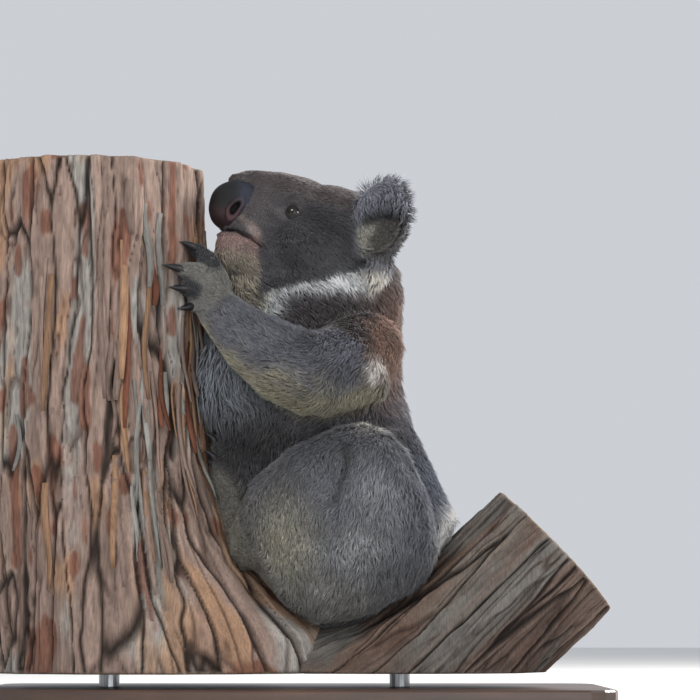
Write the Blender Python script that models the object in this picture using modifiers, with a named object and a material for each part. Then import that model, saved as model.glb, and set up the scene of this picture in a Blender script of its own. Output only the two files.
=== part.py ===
"""A life-size koala, sitting in the fork of a gum tree and holding its trunk, on a display stand.

Metres, +Z up. The origin is the middle of the base's underside. The koala faces -X and its
left side faces -Y. Its body is modelled whole, from lofts and ellipsoids that a voxel remesh
fuses, and is then parted into named pieces with cuts GAP wide. Its sizes include the coat.
"""

import math

import bmesh
import bpy
from mathutils import Matrix, Vector

GAP = 0.0003  # clearance between solids that touch
SWELL = 1.5 * GAP  # how far a cutter's corners move out, so that its faces move out by GAP or more
RING_SIDES = 20  # corners of a loft's cross-section
DOME_BENDS = (40, 75)  # degrees round a loft's domed end at which it has a ring

# ---------------------------------------------------------------- stand and perch sizes
BASE_LENGTH, BASE_WIDTH, BASE_THICKNESS = 0.66, 0.34, 0.012
BASE_CORNER, BASE_BEVEL, CORNER_STEPS = 0.03, 0.002, 3
WOOD_FOOT = 0.028  # height of the saw cut under the fork
ROD_RADIUS = 0.011
ROD_PLACES = {"stand_rod_trunk": -0.200, "stand_rod_limb": 0.110}  # x of each rod
ROD_SOCKET = 0.012  # depth of a rod's hole in the wood

TRUNK_TOP = 0.566
# (height, centre x, half size along x, half size along y)
TRUNK_RINGS = [
    (0.000, -0.143, 0.200, 0.142),
    (0.058, -0.162, 0.180, 0.134),
    (0.100, -0.183, 0.160, 0.130),
    (0.140, -0.197, 0.144, 0.127),
    (0.190, -0.206, 0.139, 0.124),
    (0.250, -0.222, 0.128, 0.121),
    (0.330, -0.225, 0.124, 0.119),
    (TRUNK_TOP, -0.225, 0.121, 0.118),
]
BARK_PLATES = 15  # long plates of bark round the trunk, with a furrow between each two
BARK_FURROW = 0.0065  # depth of the furrows below the plates
FURROW_STRAY = 0.22  # share of a plate's width by which furrows are out of step
FURROW_SWAY, FURROW_WAVES = 0.05, 14.0  # how far a furrow sways as it climbs, and how often
BARK_SIDES = 16
BARK_RIDGE = 0.0030  # how far the coarse ridges of the limb's bark stand out

LIMB_ANGLE = math.radians(44.0)
LIMB_THROUGH = Vector((0.170, 0.0, 0.058))  # a point on the limb's axis
LIMB_BACK, LIMB_FORTH = 0.170, 0.145  # reach along the axis, below and above that point
LIMB_RADIUS, LIMB_WIDE = 0.085, 0.090
LIMB_FLARE = 0.65  # how much thicker the limb is at its lower end, in the fork
LIMB_RINGS = 7

# ---------------------------------------------------------------- koala: trunk of the body
# (x, z, half depth, half width), from the seat up to the nape
TORSO = [
    (0.044, 0.130, 0.084, 0.086),
    (0.056, 0.165, 0.110, 0.098),
    (0.056, 0.192, 0.117, 0.098),
    (0.033, 0.240, 0.117, 0.094),
    (0.015, 0.294, 0.110, 0.088),
    (0.007, 0.340, 0.107, 0.084),
    (0.009, 0.385, 0.105, 0.078),
    (0.016, 0.430, 0.101, 0.068),
    (0.018, 0.462, 0.095, 0.058),
]

SEAT_DOME = 0.70  # height of the seat's round underside, as a share of its half depth

# ---------------------------------------------------------------- koala: head, in its own frame
HEAD_CENTRE = Vector((0.017, 0.0, 0.503))
HEAD_PITCH, HEAD_YAW = math.radians(14.0), math.radians(18.0)
# name: (centre, half sizes) along (forward, left, up); pairs are mirrored
HEAD_MASSES = {
    "cranium": ((-0.020, 0.0, 0.000), (0.072, 0.066, 0.050)),
    "brow": ((0.026, 0.0, 0.009), (0.064, 0.048, 0.039)),
    "jaw": ((0.026, 0.0, -0.036), (0.062, 0.050, 0.036)),
}
HEAD_PAIRS = {
    "cheek": ((-0.008, 0.034, -0.026), (0.060, 0.040, 0.044)),
    "lip": ((0.076, 0.013, -0.011), (0.026, 0.020, 0.021)),
}
# (forward, up, half height, half width)
MUZZLE = [
    (0.020, 0.009, 0.040, 0.048),
    (0.052, 0.010, 0.038, 0.039),
    (0.074, 0.009, 0.034, 0.031),
    (0.087, 0.004, 0.022, 0.025),
]
CHIN = [
    (0.030, -0.044, 0.030, 0.040),
    (0.060, -0.042, 0.027, 0.034),
    (0.081, -0.040, 0.022, 0.027),
]
# nose pad: (forward, up, half width, half depth) down the front of the muzzle
NOSE = [
    (0.081, 0.027, 0.014, 0.014),
    (0.088, 0.019, 0.019, 0.021),
    (0.092, 0.006, 0.021, 0.025),
    (0.093, -0.007, 0.0205, 0.025),
    (0.091, -0.017, 0.016, 0.020),
]
EYE_RADIUS = 0.0092
EYE_PLACE = Vector((0.036, 0.042, 0.003))

# ears: cups that open outwards, with a fringe that hangs from the lower rim
EAR_CENTRE = Vector((-0.049, 0.080, 0.018))
EAR_OPENS = Vector((0.66, 0.75, 0.05))
EAR_HALF = Vector((0.036, 0.046, 0.021))  # along the head, up, and through the cup
EAR_MOUTH = 0.25  # where the ellipsoid is cut open, as a share of its half size through the cup
EAR_THICK = 0.016
FRINGE_CENTRE = Vector((-0.060, 0.078, -0.026))
FRINGE_HALF = Vector((0.014, 0.012, 0.034))

# ---------------------------------------------------------------- koala: left limbs
# (x, y, z, half size across, half size high); the right limbs mirror them
UPPER_ARM = [
    (0.072, -0.056, 0.380, 0.032, 0.046),
    (0.062, -0.082, 0.350, 0.036, 0.050),
    (0.022, -0.102, 0.337, 0.035, 0.047),
]
FOREARM = [
    (0.022, -0.102, 0.337, 0.035, 0.047),
    (-0.015, -0.106, 0.350, 0.034, 0.043),
    (-0.047, -0.097, 0.373, 0.030, 0.035),
    (-0.071, -0.081, 0.396, 0.024, 0.027),
    (-0.086, -0.067, 0.414, 0.0195, 0.022),
]
THIGH = [
    (0.092, -0.052, 0.152, 0.052, 0.062),
    (0.086, -0.084, 0.200, 0.046, 0.056),
    (0.070, -0.100, 0.244, 0.041, 0.050),
]
SHIN = [
    (0.070, -0.100, 0.244, 0.041, 0.050),
    (0.026, -0.104, 0.216, 0.042, 0.056),
    (-0.012, -0.088, 0.188, 0.036, 0.053),
    (-0.040, -0.067, 0.162, 0.027, 0.036),
]
# the soft mass of thigh, belly and fur behind the shin: centre, half sizes
HAUNCH = ((0.044, -0.062, 0.168), (0.092, 0.062, 0.087))
# places on the bark are (angle round the trunk in degrees from +X towards the camera, height,
# distance from the bark, half size)
PALM = [
    (21.5, 0.418, 0.025, 0.020),
    (22.0, 0.434, 0.025, 0.021),
    (22.0, 0.448, 0.022, 0.018),
]
FINGERS = {
    "finger_1": [(17.0, 0.444, 0.020, 0.010), (15.0, 0.462, 0.017, 0.010), (20.5, 0.472, 0.011, 0.008)],
    "finger_2": [(19.5, 0.446, 0.022, 0.011), (22.0, 0.465, 0.020, 0.0105), (28.5, 0.475, 0.011, 0.0085)],
    "finger_3": [(24.5, 0.438, 0.023, 0.0115), (31.0, 0.449, 0.020, 0.0115), (38.5, 0.450, 0.011, 0.009)],
    "finger_4": [(24.5, 0.428, 0.021, 0.011), (30.5, 0.432, 0.018, 0.010), (36.0, 0.430, 0.011, 0.009)],
    "finger_5": [(23.5, 0.420, 0.019, 0.010), (27.5, 0.416, 0.016, 0.009), (30.5, 0.413, 0.010, 0.008)],
}
SOLE = [
    (20.0, 0.154, 0.017, 0.021),
    (19.0, 0.186, 0.013, 0.018),
    (15.5, 0.218, 0.014, 0.018),
    (12.5, 0.238, 0.016, 0.018),
]
TOES = {
    "toe_1": [(12.0, 0.214, 0.017, 0.010), (9.0, 0.222, 0.014, 0.009), (6.5, 0.228, 0.011, 0.008)],
    "toe_2": [(9.0, 0.240, 0.018, 0.011), (7.0, 0.258, 0.018, 0.010), (6.5, 0.270, 0.012, 0.008)],
    "toe_4": [(12.0, 0.244, 0.020, 0.012), (12.0, 0.260, 0.019, 0.0105), (13.5, 0.270, 0.012, 0.0085)],
    "toe_5": [(14.5, 0.234, 0.019, 0.011), (15.0, 0.246, 0.018, 0.010), (16.0, 0.252, 0.012, 0.0085)],
}
# claws: (degrees round the trunk, rise) from the tip of a finger or toe to the claw's tip
CLAWS = {
    "finger_1": (7.5, 0.007),
    "finger_2": (8.5, 0.006),
    "finger_3": (10.0, 0.004),
    "finger_4": (8.5, 0.001),
    "finger_5": (8.0, -0.004),
    "toe_2": (0.5, 0.011),
    "toe_3": (2.0, 0.011),
    "toe_4": (3.5, 0.010),
    "toe_5": (3.5, 0.009),
}
# (share of the way to the tip, share of the rise off the bark, share of the taper) along a claw
CLAW_CURVE = ((0.0, 1.0, 1.0), (0.55, 0.86, 0.84), (1.0, 0.0, 0.0))
CLAW_RADIUS, CLAW_TIP, CLAW_SIDES = 0.0041, 0.0008, 5
CLAW_LIFT = 0.0045  # height of a claw's tip above the bark's mean surface
TWIN_SPREAD = 4.0  # degrees: toes 2 and 3 are fused, and their two claws stand side by side

# planes that part the body: (a point, the direction that the first piece lies in)
NECK_TOP = ((0.010, 0.0, 0.456), (-0.06, 0.0, 1.0))
NECK_FOOT = ((0.010, 0.0, 0.402), (-0.25, 0.0, 1.0))
WAIST = ((0.015, 0.0, 0.292), (0.0, 0.0, 1.0))
LOIN = ((0.040, 0.0, 0.188), (-0.15, 0.0, 1.0))
ELBOW = ((0.016, -0.102, 0.339), (0.90, 0.15, 0.10))
WRIST = ((-0.081, -0.072, 0.406), (0.62, -0.15, -0.75))
KNEE = ((0.060, -0.100, 0.240), (0.75, 0.0, -0.20))
ANKLE = ((-0.036, -0.066, 0.168), (0.85, -0.30, 0.45))

FLAT = math.radians(1.0)  # faces that turn less than this from each other count as one
BLEND_ROUNDS = 7  # smoothing rounds that blend the creases between fused masses
CORE_DEPTH = 0.024  # how deep the limbs are set in the trunk of the body
CORE_SIDES = 8
# how a mass is fused: voxel size, the share of its faces that stays, and the heights between which
# they turn from coarse to fine, as the head, hands and toes need smaller ones
FUSING = {
    "body": (0.003, 0.0102, 0.44, 0.47),
    "arm": (0.003, 0.0180, 0.40, 0.43),
    "leg": (0.003, 0.0073, 0.20, 0.24),
    "ear": (0.002, 0.0165, 0.00, 1.00),
}
FINE_WEIGHT, FINE_FACTOR = 0.5, 0.05
SHARP = math.radians(38)  # edges that turn more than this aren't shaded smooth

# ---------------------------------------------------------------- finishes
# first words of a node's name: (colour, roughness, metallic)
FINISHES = {
    "head": ((0.200, 0.175, 0.160), 0.95, 0.0),
    "neck": ((0.230, 0.200, 0.175), 0.95, 0.0),
    "chest": ((0.300, 0.280, 0.260), 0.95, 0.0),
    "belly": ((0.270, 0.260, 0.250), 0.95, 0.0),
    "rump": ((0.330, 0.310, 0.280), 0.95, 0.0),
    "ear": ((0.330, 0.300, 0.250), 0.95, 0.0),
    "upper_arm": ((0.170, 0.140, 0.120), 0.95, 0.0),
    "forearm": ((0.210, 0.190, 0.160), 0.95, 0.0),
    "hand": ((0.180, 0.165, 0.145), 0.90, 0.0),
    "thigh": ((0.260, 0.240, 0.200), 0.95, 0.0),
    "shin": ((0.290, 0.270, 0.220), 0.95, 0.0),
    "foot": ((0.140, 0.120, 0.100), 0.90, 0.0),
    "nose": ((0.024, 0.024, 0.028), 0.45, 0.0),
    "eye": ((0.012, 0.007, 0.004), 0.05, 0.0),
    "claw": ((0.020, 0.017, 0.015), 0.35, 0.0),
    "perch": ((0.250, 0.180, 0.140), 0.90, 0.0),
    "stand_base": ((0.060, 0.034, 0.020), 0.40, 0.0),
    "stand_rod": ((0.560, 0.570, 0.580), 0.30, 1.0),
}


def clear_scene():
    for thing in list(bpy.data.objects):
        bpy.data.objects.remove(thing)


def collection(name):
    made = bpy.data.collections.new(name)
    bpy.context.scene.collection.children.link(made)
    return made


def finish(piece):
    """Gives a piece its own material, from the first words of its name, and shades it smooth."""
    colour, roughness, metallic = next(FINISHES[start] for start in FINISHES if piece.name.startswith(start))
    made = bpy.data.materials.new(piece.name)
    made.use_nodes = True
    shader = made.node_tree.nodes["Principled BSDF"]
    shader.inputs["Base Color"].default_value = (*colour, 1.0)
    shader.inputs["Roughness"].default_value = roughness
    shader.inputs["Metallic"].default_value = metallic
    piece.data.materials.append(made)
    piece.data.shade_smooth()
    piece.data.set_sharp_from_angle(angle=SHARP)


def mesh_object(name, shape, where):
    """An object made from a bmesh, which is then freed. Its faces become triangles, so all are flat."""
    bmesh.ops.recalc_face_normals(shape, faces=shape.faces)
    bmesh.ops.triangulate(shape, faces=shape.faces)
    mesh = bpy.data.meshes.new(name)
    shape.to_mesh(mesh)
    shape.free()
    made = bpy.data.objects.new(name, mesh)
    where.objects.link(made)
    return made


# ---------------------------------------------------------------- shapes
def ring_frames(centres, across):
    """(tangent, side, high) at each centre of a path; across is the rough direction of side."""
    frames = []
    for i in range(len(centres)):
        ahead = centres[min(i + 1, len(centres) - 1)] - centres[max(i - 1, 0)]
        tangent = ahead.normalized()
        side = (across - tangent * across.dot(tangent)).normalized()
        frames.append((tangent, side, tangent.cross(side)))
    return frames


def skin(shape, loops):
    """Joins each loop of corners to the next, and closes the two ends."""
    count = len(loops[0])
    for low, high in zip(loops, loops[1:]):
        for k in range(count):
            shape.faces.new((low[k], low[(k + 1) % count], high[(k + 1) % count], high[k]))
    shape.faces.new(loops[0][::-1])
    shape.faces.new(loops[-1])


def loft(shape, stations, across, grow=0.0, dome=1.0, sides=RING_SIDES, level=False):
    """Adds a tube through stations of (centre, half width, half height).

    Its ends are domes as tall as that share of the end's smaller half size, or flat where dome is 0.
    Its rings stand square to the path, or are all level.
    """
    centres = [centre for centre, _, _ in stations]
    frames = ring_frames(centres, across)
    if level:
        frames = [(Vector((0, 0, 1)), Vector((1, 0, 0)), Vector((0, 1, 0)))] * len(stations)
    rings = []
    for (centre, wide, high), frame in zip(stations, frames):
        rings.append((centre, wide + grow, high + grow, frame))
    if dome:
        bends = [math.radians(a) for a in DOME_BENDS]
        for end, way in ((0, -1), (-1, 1)):
            centre, wide, high, frame = rings[end]
            reach = dome * min(wide, high)
            cap = []
            for a in bends:
                shift = frame[0] * (way * reach * math.sin(a))
                cap.append((centre + shift, wide * math.cos(a), high * math.cos(a), frame))
            rings = cap[::-1] + rings if end == 0 else rings + cap
    loops = []
    for centre, wide, high, (_, side, up) in rings:
        loop = []
        for k in range(sides):
            a = 2 * math.pi * k / sides
            loop.append(shape.verts.new(centre + side * (wide * math.cos(a)) + up * (high * math.sin(a))))
        loops.append(loop)
    skin(shape, loops)


def ellipsoid(shape, centre, half, turn, grow=0.0, around=20, rings=12):
    """Adds an ellipsoid: half sizes along the columns of turn."""
    sizes = Matrix.Diagonal([h + grow for h in half]).to_4x4()
    place = Matrix.Translation(centre) @ turn.to_4x4() @ sizes
    bmesh.ops.create_uvsphere(shape, u_segments=around, v_segments=rings, radius=1.0, matrix=place)


def head_turn():
    """Columns: forward, left and up of the head."""
    level = Matrix.Rotation(math.pi, 3, "Z")
    return Matrix.Rotation(HEAD_YAW, 3, "Z") @ level @ Matrix.Rotation(-HEAD_PITCH, 3, "Y")


def in_head(point):
    return HEAD_CENTRE + head_turn() @ Vector(point)


def mirrored(point, side):
    return Vector((point[0], point[1] * side, point[2]))


def trunk_ring(height):
    """(centre x, half size along x, half size along y) of the tree trunk at a height."""
    for low, high in zip(TRUNK_RINGS, TRUNK_RINGS[1:]):
        if height <= high[0]:
            break
    share = min(1.0, max(0.0, (height - low[0]) / (high[0] - low[0])))
    return [a + (b - a) * share for a, b in zip(low[1:], high[1:])]


def on_bark(angle, height, lift, side):
    """A point at a distance outside the tree trunk; side is 1 for the koala's left, -1 for its right."""
    centre_x, half_x, half_y = trunk_ring(height)
    a = math.radians(angle)
    return Vector((centre_x + (half_x + lift) * math.cos(a), -side * (half_y + lift) * math.sin(a), height))


def bark_path(stations, side):
    return [(on_bark(angle, height, lift, side), size, size) for angle, height, lift, size in stations]


def limb_path(stations, side):
    return [(Vector((x, y * side, z)), wide, high) for x, y, z, wide, high in stations]


# ---------------------------------------------------------------- perch and stand
def bark_relief(angle, along):
    """Radius factor of the coarse ridges that run along the limb's bark."""
    return math.sin(5 * angle + 2.0 * along) + 0.6 * math.sin(9 * angle - 3.1 * along + 1.0)


def furrow_angle(number, height):
    """Where a furrow of the trunk's bark runs: out of step with its neighbours, and swaying as it climbs."""
    own = number % BARK_PLATES
    spaced = 2 * math.pi * (number + FURROW_STRAY * math.sin(2.4 * own)) / BARK_PLATES
    return spaced + FURROW_SWAY * math.sin(FURROW_WAVES * height + 1.7 * own)


def trunk_corners(height):
    """(angle, lift) round a ring of the trunk: the bottom of a furrow, the middle of a plate, and so on."""
    corners = []
    for number in range(BARK_PLATES):
        furrow, next_furrow = furrow_angle(number, height), furrow_angle(number + 1, height)
        corners.append((furrow, -BARK_FURROW / 2))
        corners.append(((furrow + next_furrow) / 2, BARK_FURROW / 2))
    return corners


def limb_corners(ring):
    angles = [2 * math.pi * k / BARK_SIDES for k in range(BARK_SIDES)]
    return [(angle, BARK_RIDGE * bark_relief(angle, 0.25 * ring)) for angle in angles]


def wood(name, path, where):
    """A log through (centre, side, up, half width, half height, corners) rings."""
    shape = bmesh.new()
    loops = []
    for centre, side, up, wide, high, corners in path:
        loop = []
        for angle, lift in corners:
            reach = side * ((wide + lift) * math.cos(angle)) + up * ((high + lift) * math.sin(angle))
            loop.append(shape.verts.new(centre + reach))
        loops.append(loop)
    skin(shape, loops)
    return mesh_object(name, shape, where)


def tree_trunk(where):
    path = []
    for height, centre_x, half_x, half_y in TRUNK_RINGS:
        centre = Vector((centre_x, 0, height))
        path.append((centre, Vector((1, 0, 0)), Vector((0, 1, 0)), half_x, half_y, trunk_corners(height)))
    return wood("perch_trunk", path, where)


def tree_limb(where):
    along = Vector((math.cos(LIMB_ANGLE), 0, math.sin(LIMB_ANGLE)))
    up = Vector((-along.z, 0, along.x))
    path = []
    for i in range(LIMB_RINGS):
        share = i / (LIMB_RINGS - 1)
        flare = 1.0 + LIMB_FLARE * (1 - share) ** 4
        centre = LIMB_THROUGH + along * (-LIMB_BACK + (LIMB_BACK + LIMB_FORTH) * share)
        path.append((centre, Vector((0, 1, 0)), up, LIMB_WIDE * flare, LIMB_RADIUS * flare, limb_corners(i)))
    return wood("perch_limb", path, where)


def box(name, low, high, where):
    shape = bmesh.new()
    size = [b - a for a, b in zip(low, high)]
    middle = Vector([(a + b) / 2 for a, b in zip(low, high)])
    place = Matrix.Translation(middle) @ Matrix.Diagonal([*size, 1.0])
    bmesh.ops.create_cube(shape, size=1.0, matrix=place)
    return mesh_object(name, shape, where)


def cylinder(name, radius, low, high, x, where, sides=14):
    shape = bmesh.new()
    place = Matrix.Translation((x, 0, (low + high) / 2))
    bmesh.ops.create_cone(
        shape, cap_ends=True, segments=sides, radius1=radius, radius2=radius, depth=high - low, matrix=place
    )
    return mesh_object(name, shape, where)


def stand_base(where):
    """A flat plate with round corners and a small bevel round its top."""
    shape = bmesh.new()
    loops = []
    for height, inset in ((0, 0), (BASE_THICKNESS - BASE_BEVEL, 0), (BASE_THICKNESS, BASE_BEVEL)):
        loop = []
        for turn in range(4):
            way_x, way_y = ((1, 1), (-1, 1), (-1, -1), (1, -1))[turn]
            centre_x = way_x * (BASE_LENGTH / 2 - BASE_CORNER)
            centre_y = way_y * (BASE_WIDTH / 2 - BASE_CORNER)
            for step in range(CORNER_STEPS + 1):
                a = math.pi / 2 * (turn + step / CORNER_STEPS)
                reach = BASE_CORNER - inset
                place = (centre_x + reach * math.cos(a), centre_y + reach * math.sin(a), height)
                loop.append(shape.verts.new(place))
        loops.append(loop)
    skin(shape, loops)
    return mesh_object("stand_base", shape, where)


# ---------------------------------------------------------------- Booleans and baking
def boolean(target, other, operation):
    step = target.modifiers.new(operation.lower(), "BOOLEAN")
    step.operation = operation
    step.object = other
    step.solver = "EXACT"
    apply_modifiers(target)


def apply_modifiers(target):
    """Turns the object's modified shape into its mesh, in triangles, so that every face is flat."""
    graph = bpy.context.evaluated_depsgraph_get()
    mesh = bpy.data.meshes.new_from_object(target.evaluated_get(graph))
    shape = bmesh.new()
    shape.from_mesh(mesh)
    bmesh.ops.triangulate(shape, faces=shape.faces)
    shape.to_mesh(mesh)
    shape.free()
    target.modifiers.clear()
    target.data = mesh


def keep_largest_island(target):
    """Deletes the slivers that a cut leaves beside the main body."""
    shape = bmesh.new()
    shape.from_mesh(target.data)
    left, islands = set(shape.verts), []
    while left:
        todo, island = [left.pop()], []
        while todo:
            vert = todo.pop()
            island.append(vert)
            for edge in vert.link_edges:
                other = edge.other_vert(vert)
                if other in left:
                    left.discard(other)
                    todo.append(other)
        islands.append(island)
    islands.sort(key=len)
    for island in islands[:-1]:
        bmesh.ops.delete(shape, geom=island, context="VERTS")
    shape.to_mesh(target.data)
    shape.free()


def dissolve_flats(target):
    """Takes out the points that a cut leaves in the middle of a flat face or a straight edge."""
    shape = bmesh.new()
    shape.from_mesh(target.data)
    bmesh.ops.dissolve_limit(shape, angle_limit=FLAT, verts=shape.verts, edges=shape.edges)
    bmesh.ops.triangulate(shape, faces=shape.faces)
    shape.to_mesh(target.data)
    shape.free()


def copy_of(source, name, where):
    made = bpy.data.objects.new(name, source.data.copy())
    where.objects.link(made)
    return made


def swollen(source, name, amount, where):
    """A copy whose surface stands out by amount."""
    made = copy_of(source, name, where)
    step = made.modifiers.new("swell", "DISPLACE")
    step.strength = amount
    step.mid_level = 0.0
    apply_modifiers(made)
    return made


# ---------------------------------------------------------------- koala: masses
def add_torso(shape, grow=0.0, sides=32):
    stations = [(Vector((x, 0, z)), deep, wide) for x, z, deep, wide in TORSO]
    loft(shape, stations, Vector((1, 0, 0)), grow=grow, dome=SEAT_DOME, sides=sides, level=True)


def add_head(shape):
    turn = head_turn()
    for centre, half in HEAD_MASSES.values():
        ellipsoid(shape, in_head(centre), half, turn, around=32, rings=20)
    for centre, half in HEAD_PAIRS.values():
        for side in (1, -1):
            place = in_head((centre[0], centre[1] * side, centre[2]))
            ellipsoid(shape, place, half, turn, around=24, rings=16)
    for part in (MUZZLE, CHIN):
        stations = [(in_head((forward, 0, up)), high, wide) for forward, up, high, wide in part]
        loft(shape, stations, turn.col[2].copy(), sides=28)


def ear_turn(side):
    """Columns: along the ear, up the ear, and out of its opening."""
    opens = head_turn() @ Vector((EAR_OPENS.x, EAR_OPENS.y * side, EAR_OPENS.z))
    opens.normalize()
    up = head_turn() @ Vector((0, 0, 1))
    up = (up - opens * up.dot(opens)).normalized()
    return Matrix((up.cross(opens), up, opens)).transposed()


def ear_place(side):
    return in_head((EAR_CENTRE.x, EAR_CENTRE.y * side, EAR_CENTRE.z))


def add_ear(shape, side):
    """A cup: the back half of an ellipsoid, thickened inwards, with a soft fringe below."""
    turn, centre = ear_turn(side), ear_place(side)
    cup = bmesh.new()
    sizes = Matrix.Diagonal([*EAR_HALF, 1.0])
    bmesh.ops.create_uvsphere(cup, u_segments=24, v_segments=16, radius=1.0)
    front = [v for v in cup.verts if v.co.z > EAR_MOUTH]
    bmesh.ops.delete(cup, geom=front, context="VERTS")
    bmesh.ops.transform(cup, matrix=Matrix.Translation(centre) @ turn.to_4x4() @ sizes, verts=cup.verts)
    helper = mesh_object("ear_cup", cup, bpy.context.scene.collection)
    shell = helper.modifiers.new("shell", "SOLIDIFY")
    shell.thickness = EAR_THICK
    shell.offset = -1
    apply_modifiers(helper)
    shape.from_mesh(helper.data)
    bpy.data.objects.remove(helper)
    hang = in_head((FRINGE_CENTRE.x, FRINGE_CENTRE.y * side, FRINGE_CENTRE.z))
    ellipsoid(shape, hang, FRINGE_HALF, head_turn(), around=16, rings=12)


def fused(name, kind, shape, where):
    """One closed skin round all that is in shape, its creases blended and its faces thinned out."""
    voxel, share, low, high = FUSING[kind]
    made = mesh_object(name, shape, where)
    fuse = made.modifiers.new("fuse", "REMESH")
    fuse.mode = "VOXEL"
    fuse.voxel_size = voxel
    blend = made.modifiers.new("blend", "SMOOTH")
    blend.factor = 0.6
    blend.iterations = BLEND_ROUNDS
    apply_modifiers(made)
    weights = made.vertex_groups.new(name="coarse")
    for vert in made.data.vertices:
        rise = min(1.0, max(0.0, (vert.co.z - low) / (high - low)))
        weights.add([vert.index], 1.0 - (1.0 - FINE_WEIGHT) * rise, "REPLACE")
    thin = made.modifiers.new("thin", "DECIMATE")
    thin.ratio = share
    thin.vertex_group = "coarse"
    thin.vertex_group_factor = FINE_FACTOR
    apply_modifiers(made)
    keep_largest_island(made)
    return made


def torso_and_head(where):
    shape = bmesh.new()
    add_torso(shape)
    add_head(shape)
    return fused("rump", "body", shape, where)


def arm(side, where):
    shape = bmesh.new()
    across = Vector((0, 1, 0))
    for part in (UPPER_ARM, FOREARM):
        loft(shape, limb_path(part, side), across)
    loft(shape, bark_path(PALM, side), across, sides=16)
    for part in FINGERS.values():
        loft(shape, bark_path(part, side), across, sides=12)
    return fused("arm", "arm", shape, where)


def leg(side, where):
    shape = bmesh.new()
    across = Vector((0, 1, 0))
    for part in (THIGH, SHIN):
        loft(shape, limb_path(part, side), across)
    centre, half = HAUNCH
    ellipsoid(shape, mirrored(centre, side), half, Matrix.Identity(3), around=28, rings=18)
    loft(shape, bark_path(SOLE, side), across, sides=16)
    for part in TOES.values():
        loft(shape, bark_path(part, side), across, sides=12)
    return fused("leg", "leg", shape, where)


def ear(side, name, where):
    shape = bmesh.new()
    add_ear(shape, side)
    return fused(name, "ear", shape, where)


def torso_core(name, grow, where):
    """The middle of the body's trunk, which the limbs don't reach into."""
    shape = bmesh.new()
    add_torso(shape, grow=grow - CORE_DEPTH, sides=CORE_SIDES)
    return mesh_object(name, shape, where)


def nose(where):
    shape = bmesh.new()
    turn = head_turn()
    stations = [(in_head((forward, 0, up)), wide, deep) for forward, up, wide, deep in NOSE]
    loft(shape, stations, turn.col[1].copy(), sides=12)
    return mesh_object("nose", shape, where)


def eye(side, name, where):
    shape = bmesh.new()
    place = in_head((EYE_PLACE.x, EYE_PLACE.y * side, EYE_PLACE.z))
    ellipsoid(shape, place, (EYE_RADIUS,) * 3, head_turn(), around=9, rings=6)
    return mesh_object(name, shape, where)


def claw(digit, side, name, where):
    """A curved claw from inside the end of a finger or toe to the bark."""
    toe = "toe_2" if digit == "toe_3" else digit
    angle, height, lift, _ = {**FINGERS, **TOES}[toe][-1]
    if digit in ("toe_2", "toe_3"):
        angle += TWIN_SPREAD * (0.5 if digit == "toe_3" else -0.5)
    turn, rise = CLAWS[digit]
    stations = []
    for share, high, size in CLAW_CURVE:
        reach = CLAW_LIFT + (lift - CLAW_LIFT) * high
        radius = CLAW_TIP + (CLAW_RADIUS - CLAW_TIP) * size
        place = on_bark(angle + turn * share, height + rise * share, reach, side)
        stations.append((place, radius, radius))
    outward = on_bark(angle, height, 1.0, side) - on_bark(angle, height, 0.0, side)
    shape = bmesh.new()
    loft(shape, stations, outward, dome=0, sides=CLAW_SIDES)
    return mesh_object(name, shape, where)


# ---------------------------------------------------------------- parting
def half_space(name, plane, side, where):
    """A big block whose one face is the plane; it fills the side that the plane's direction shows."""
    size = 1.0
    point, normal = mirrored(plane[0], side), mirrored(plane[1], side).normalized()
    shape = bmesh.new()
    bmesh.ops.create_cube(shape, size=size)
    turn = normal.to_track_quat("Z", "Y").to_matrix().to_4x4()
    place = Matrix.Translation(point + normal * (size / 2)) @ turn
    bmesh.ops.transform(shape, matrix=place, verts=shape.verts)
    return mesh_object(name, shape, where)


def part_at(whole, plane, side, names, helpers, where):
    """Cuts a piece at a plane. The part on the plane's side gets the first name, the rest the second."""
    block = half_space("block", plane, side, helpers)
    first = copy_of(whole, names[0], where)
    boolean(first, block, "INTERSECT")
    keep_largest_island(first)
    point = Vector(plane[0]) - Vector(plane[1]).normalized() * GAP
    wider = half_space("wider_block", (point, plane[1]), side, helpers)
    boolean(whole, wider, "DIFFERENCE")
    keep_largest_island(whole)
    whole.name = names[1]
    for helper in (block, wider):
        bpy.data.objects.remove(helper)
    return first, whole


def make_room(target, neighbour, helpers):
    """Cuts the neighbour's shape, and GAP round it, out of target."""
    larger = swollen(neighbour, "larger", SWELL, helpers)
    boolean(target, larger, "DIFFERENCE")
    bpy.data.objects.remove(larger)


def set_in(limb, body, helpers):
    """Sets a limb CORE_DEPTH deep in the body, in a socket that clears it by GAP."""
    socket = swollen(limb, "socket", SWELL, helpers)
    core = torso_core("core", 0.0, helpers)
    boolean(socket, core, "DIFFERENCE")
    boolean(body, socket, "DIFFERENCE")
    wider = torso_core("wider_core", SWELL, helpers)
    boolean(limb, wider, "DIFFERENCE")
    for helper in (socket, core, wider):
        bpy.data.objects.remove(helper)


def perch(helpers, where):
    """The trunk and the limb of the tree's fork, sawn off level and drilled for the rods."""
    logs = [tree_trunk(where), tree_limb(where)]
    ground = box("ground", (-1, -1, -1), (1, 1, WOOD_FOOT), helpers)
    for log in logs:
        boolean(log, ground, "DIFFERENCE")
    bpy.data.objects.remove(ground)
    make_room(logs[1], logs[0], helpers)
    keep_largest_island(logs[1])
    for x in ROD_PLACES.values():
        bore = cylinder("bore", ROD_RADIUS + GAP, 0, WOOD_FOOT + ROD_SOCKET + GAP, x, helpers)
        for log in logs:
            boolean(log, bore, "DIFFERENCE")
        bpy.data.objects.remove(bore)
    return logs


def stand(where):
    stand_base(where)
    for name, x in ROD_PLACES.items():
        cylinder(name, ROD_RADIUS, BASE_THICKNESS + GAP, WOOD_FOOT + ROD_SOCKET, x, where)


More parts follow.
